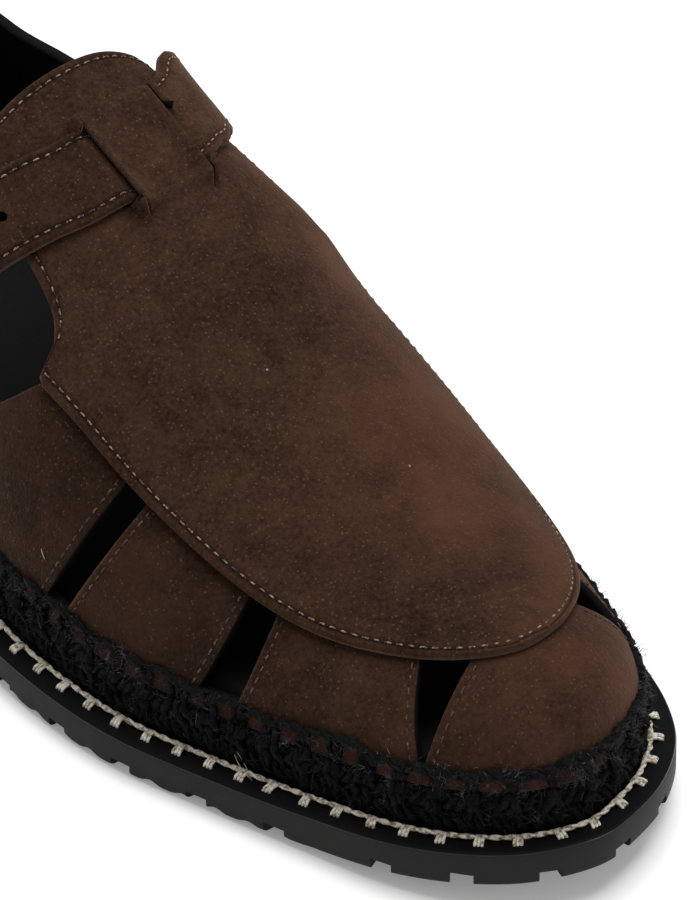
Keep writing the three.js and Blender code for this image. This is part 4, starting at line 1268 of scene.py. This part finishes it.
def strap_hole_shades():
    """Black discs of painted shade for the punched holes, on the strap's middle line, from the one
    nearest the slot towards the tip.
    """
    fine = np.arange(STRAP_ROUTE[0, 0] + 2, 60, 0.02)
    run = run_along(route_spot(fine))
    turns = np.interp(np.interp(FIRST_HOLE, fine, run) - HOLE_PITCH * np.arange(HOLES), run, fine)
    across, rise = np.zeros(HOLES), STRAP_THICK + HOLE_LIFT
    middle = strap_point(turns, across, rise)
    along = frames_along(np.stack([middle, strap_point(turns + 0.5, across, rise)], 1))[:, 0]
    wide = strap_point(turns, across + 0.1, rise) - middle
    wide /= np.linalg.norm(wide, axis=1)[:, None]
    turn = np.arange(HOLE_SIDES) * 2 * np.pi / HOLE_SIDES
    points = (middle[:, None] + along[:, None] * (np.cos(turn) * HOLE_RADIUS)[None, :, None]
              + wide[:, None] * (np.sin(turn) * HOLE_RADIUS)[None, :, None])
    base = (np.arange(HOLES) * HOLE_SIDES)[:, None]
    faces = np.vstack([base + [0, n, n + 1, n + 2] for n in range(1, HOLE_SIDES - 2, 2)])
    return points.reshape(-1, 3), faces


put("strap_hole_shades", *strap_hole_shades(), [hole_painted_shade], slot="suede", smooth=False)

# Seams
# Fine thread, a stitch about every 2.4 mm, sewn a little inside every cut edge: tan round the
# apron and its tab and along both edges of the strap, brown beside each slit.
STITCH_PITCH = 2.35
STITCH_LENGTH = 1.5
STITCH_RADIUS = 0.19
STITCH_SINK = 0.42
NEEDLE_LENGTH, NEEDLE_HEIGHT, NEEDLE_RADIUS = 0.7, 0.02, 0.16
SLIT_SEAM = 1.5
APRON_SINK, STRAP_SINK = 0.15, 0.16


def thread_finish(name, dark, light, full):
    """Twisted thread whose plies vary between two tones."""
    thread = Finish(name, Roughness=0.7)
    tone = thread.noise(1400.0, 2.0).ramp(0.42, full)
    thread.feed(Base_Color=thread.blend(dark, light, tone))
    return thread


tan_thread = thread_finish("tan_thread", srgb(52, 34, 27), srgb(160, 126, 102), 0.6)
brown_thread = thread_finish("brown_thread", srgb(40, 26, 20), srgb(98, 72, 58), 0.62)
# the needle holes are short dark tubes of painted shade
needle_shade_finish = Finish("needle_hole_shade", Roughness=0.9)
needle_shade_finish.feed(Base_Color=srgb(14, 9, 7))


def stitches(path, outward, shift=0.0, length=STITCH_LENGTH, height=0.14):
    """Dashes along a path of points: each is a short tube that dips into the suede at both ends."""
    run = run_along(path)
    count = int(run[-1] / STITCH_PITCH)
    middle = (np.arange(count) + 0.5 + shift) * run[-1] / count
    s = np.linspace(-0.5, 0.5, 6)
    at = middle[:, None] + s[None, :] * length
    spot = np.stack([np.interp(at, run, path[:, n]) for n in range(3)], -1)
    lift = np.stack([np.interp(at, run, outward[:, n]) for n in range(3)], -1)
    return spot + lift * (height - STITCH_SINK * (2 * np.abs(s)) ** 3)[None, :, None]


def sewn(path, outward):
    """A row of stitches, and between them short dark tubes of painted shade for the needle holes.
    """
    return stitches(path, outward), stitches(path, outward, 0.5, NEEDLE_LENGTH, NEEDLE_HEIGHT)


def slit_seams():
    """A row beside each long edge of each slit."""
    rows = []
    for slit in SLITS:
        for front in (True, False):
            down = np.linspace(0.0, 1.0, 60)
            t, turn = slit_line(front, down, slit, -SLIT_SEAM if front else SLIT_SEAM)
            rows.append(sewn(last(t, turn), normal_of(t, turn)))
    return rows


def apron_seam():
    """A row round the apron inside its edge: up each side, along the tab and over its end."""
    rows, ends = [], []
    for medial in (False, True):
        share = np.linspace(0, 1, 700)
        t = APRON_TIP + APRON_SEAM + (VAMP_END - APRON_TIP - APRON_SEAM) * share**2
        rows.append((t, apron_edge(medial, t, APRON_SEAM)))
        t = np.linspace(VAMP_END + 1.2, APRON_END - APRON_SEAM, 300)
        x = apron_edge(medial, t) + (-APRON_SEAM if medial else APRON_SEAM)
        rows.append((t, x))
        ends.append(x[-1])
    rows.append((np.full(80, APRON_END - APRON_SEAM), np.linspace(*ends, 80)))
    turns = [turn_at_place(t, x) for t, x in rows]
    lift = CURVED_CLEAR + APRON_THICK - APRON_SINK
    return [sewn(over(t, turn, lift), normal_of(t, turn)) for (t, _), turn in zip(rows, turns)]


def strap_seams():
    """A row inside each long edge of the strap."""
    rows = []
    turns = strap_turns(0.4)
    for side in (-1, 1):
        across = np.full(len(turns), side * (1 - 2 * STRAP_SEAM / STRAP_WIDTH))
        surface = strap_point(turns, across, STRAP_THICK - STRAP_SINK)
        above = strap_point(turns, across, STRAP_THICK - STRAP_SINK + 1)
        rows.append(sewn(surface, above - surface))
    return rows


for name, rows, thread in (
    ("slit", slit_seams(), brown_thread),
    ("apron", apron_seam(), tan_thread),
    ("strap", strap_seams(), tan_thread),
):
    threads, needle_shades = (np.concatenate(parts) for parts in zip(*rows))
    put(f"{name}_stitches", *tubes(threads, STITCH_RADIUS), [thread], slot="suede")
    put(f"{name}_needle_hole_shade", *tubes(needle_shades, NEEDLE_RADIUS, 4), [needle_shade_finish], slot="suede")

# Blanket stitch
# Thick black jute yarn lashes the suede's foot to the rope: a two-ply run along the suede and a
# wrap of three strands down over the rope every 7.2 mm, with windows of suede between the wraps.
YARN_HEIGHT = 4.3
WRAP_PITCH = 7.2
WRAP_STRANDS = 3
WRAP_SPREAD = 0.95
WRAP_RADIUS, WRAP_LIFT = 0.74, 0.75
WRAP_ARCS = (YARN_HEIGHT + 0.3, 0.75 * YARN_HEIGHT, 0.5 * YARN_HEIGHT, 0.25 * YARN_HEIGHT, 0.1)
YARN_STEP, YARN_TWIST = 0.9, 6.5
YARN_RADIUS, YARN_LIFT, YARN_DIP, YARN_WANDER = 0.58, 0.55, 0.35, 1.5
YARN_FUZZ, FUZZ_SPOTS = 9800, 1500
FOOT_LOOP = np.vstack([skin_ring, skin_ring[:1]])
FOOT_RUN = run_along(FOOT_LOOP)


def toe_share(u):
    """One round the toe and nought along the sides, where the yarn is pulled tighter."""
    return smooth((0.17 - np.minimum(u, 1 - u)) / 0.1)


def belt_spot(u, arc):
    """Point and normal on the belt at a distance up from the feather line, or at one for each u."""
    v = np.linspace(0, 0.5, 60)
    grid = last(*belt(u[:, None], v[None, :]))
    run = np.cumsum(np.linalg.norm(np.diff(grid, axis=1, prepend=grid[:, :1]), axis=2), axis=1)
    found = np.array([np.interp(*pair, v) for pair in zip(np.broadcast_to(arc, u.shape), run)])
    t, turn = belt(u, found)
    return last(t, turn), normal_of(t, np.clip(turn, 0.03, np.pi - 0.03))


def even_feet(pitch):
    """Shares of the feather line at even distances of about a pitch."""
    count = int(FOOT_RUN[-1] / pitch)
    spots = np.arange(count) * FOOT_RUN[-1] / count
    return np.interp(spots, FOOT_RUN, np.linspace(0, 1, len(FOOT_LOOP)))


def yarn_run(random):
    """The run's two plies wind round each other; every wrap pulls them down a little."""
    u = even_feet(YARN_STEP)
    index = np.arange(len(u))
    wraps = len(even_feet(WRAP_PITCH))
    rough = np.convolve(random.normal(0, 1, len(u) + 8), np.ones(9) / 9, "valid")
    dip = YARN_DIP * np.cos(2 * np.pi * index / len(u) * wraps)
    arc = YARN_HEIGHT - dip + YARN_WANDER * rough
    spot, normal = belt_spot(u, arc)
    above, _ = belt_spot(u, arc + 1.0)
    up = above - spot
    twist = 2 * np.pi * index * YARN_STEP / YARN_TWIST
    swing = 0.3 + 0.3 * toe_share(u)
    plies = []
    for half in (0.0, np.pi):
        line = spot + normal * (YARN_LIFT + swing * 0.7 * np.cos(twist + half))[:, None]
        line = line + up * (swing * np.sin(twist + half))[:, None]
        plies.append(np.vstack([line, line[:1]]))
    thick = YARN_RADIUS + 0.14 * toe_share(u) + 0.11 * random.normal(0, 1, len(u))
    return np.array(plies), np.append(thick, thick[0])


def yarn_wraps(random):
    """Each strand leaves the run, crosses the suede's foot and hangs over the rope's side."""
    feet = even_feet(WRAP_PITCH)
    per_mm = 1 / FOOT_RUN[-1]
    paths = []
    for n in range(WRAP_STRANDS):
        spread = WRAP_SPREAD * (n - 1) + random.normal(0, 0.3, len(feet))
        u = np.mod(feet + spread * per_mm, 1)
        rows = []
        for arc in WRAP_ARCS:
            spot, normal = belt_spot(u, arc)
            rows.append(spot + normal * WRAP_LIFT)
        foot, normal = belt_spot(u, 0.05)
        out = normal * [1, 1, 0]
        out /= np.linalg.norm(out, axis=1)[:, None]
        drop = random.uniform(4.0, 9.0, len(feet))
        drift = random.normal(0, 1.2, len(feet))
        ahead = np.column_stack([-out[:, 1], out[:, 0], np.zeros(len(feet))])
        for share in (0.2, 0.4, 0.6, 0.8, 1.0):
            bulge = 1.5 + 0.5 * np.sin(2 * np.pi * share) - 0.5 * share
            rows.append(foot + out * bulge + ahead * (drift * share)[:, None]
                        - UP * (drop * share)[:, None])
        paths.append(np.stack(rows, 1))
    paths = np.concatenate(paths)
    return paths + random.normal(0, 0.12, paths.shape)


def yarn_fuzz(count, random):
    """Fibres that stand off the lashing, over the suede's foot."""
    u = random.uniform(0, 1, FUZZ_SPOTS)
    spot, normal = belt_spot(u, random.uniform(0, YARN_HEIGHT + 0.8, FUZZ_SPOTS))
    pick = random.integers(0, FUZZ_SPOTS, count)
    way = normal[pick] * random.uniform(0.0, 0.3, (count, 1)) + random.normal(0, 0.5, (count, 3))
    way /= np.linalg.norm(way, axis=1)[:, None]
    roots = spot[pick] + normal[pick] * 0.6 + random.normal(0, 0.6, (count, 3))
    size = random.uniform(0.6, 1.0 + 1.6 * random.uniform(0, 1, count) ** 3)
    return hairs(roots, way, size, 0.5, random.uniform(0.04, 0.09, count), random)


random = np.random.default_rng(5)
plies, thick = yarn_run(random)
put("blanket_run", *tubes(plies, thick[None, :], 7), [jute_black], slot="jute")
wrap_thick = WRAP_RADIUS * np.array([0.9, 1.0, 1.0, 1.0, 1.05, 1.1, 1.1, 1.0, 0.9, 0.6])
put("blanket_wraps", *tubes(yarn_wraps(random), wrap_thick[None, :]), [jute_black], slot="jute")
put("blanket_fuzz", *yarn_fuzz(YARN_FUZZ, random), [jute_fibre_and_glint], slot="jute")

# Loose threads
# Five pale ends of the welt's thread and of lint have worked loose. They cling to the rope and to
# the suede's nap, and each is one thin fibre that curls away from where it is held.
THREAD_POINTS = 14

pale_lint = Finish("pale_lint", Roughness=0.7)
pale_lint.feed(Base_Color=srgb(196, 188, 174))


def loose_thread(start, ahead, length, bend, radius):
    """One curled end: it leaves its start along ahead and its heading turns steadily by bend."""
    run = np.linspace(0, 1, THREAD_POINTS)
    ahead = np.array(ahead, float) / np.linalg.norm(ahead)
    side = np.cross(ahead, [0.3, -0.5, 0.8])
    heading = np.outer(np.cos(run * bend), ahead) + np.outer(np.sin(run * bend), side)
    path = np.array(start) + np.cumsum(heading, axis=0) * length / THREAD_POINTS
    return path[None], np.linspace(1, 0.5, THREAD_POINTS)[None, :] * radius


for number, (start, ahead, length, bend, radius) in enumerate((
    ((-43.4, 66.4, 12.6), (1.75, -6.8, -5.5), 9.0, 0.5, 0.09),
    ((-43.8, 65.0, 11.8), (-0.4, -0.9, -0.3), 7.0, -0.8, 0.07),
    ((-50.6, 116.0, 29.6), (-0.5, -0.2, 0.9), 7.5, 4.2, 0.07),
    ((-45.5, 96.0, 15.0), (-0.2, 0.6, 0.7), 4.0, 1.1, 0.06),
    ((-22.3, 33.1, 10.6), (0.1, 0.1, 1.0), 6.0, 0.7, 0.06),
)):
    path, width = loose_thread(start, ahead, length, bend, radius)
    put(f"loose_thread_{number}", *tubes(path, width, 5), [pale_lint], slot="jute")
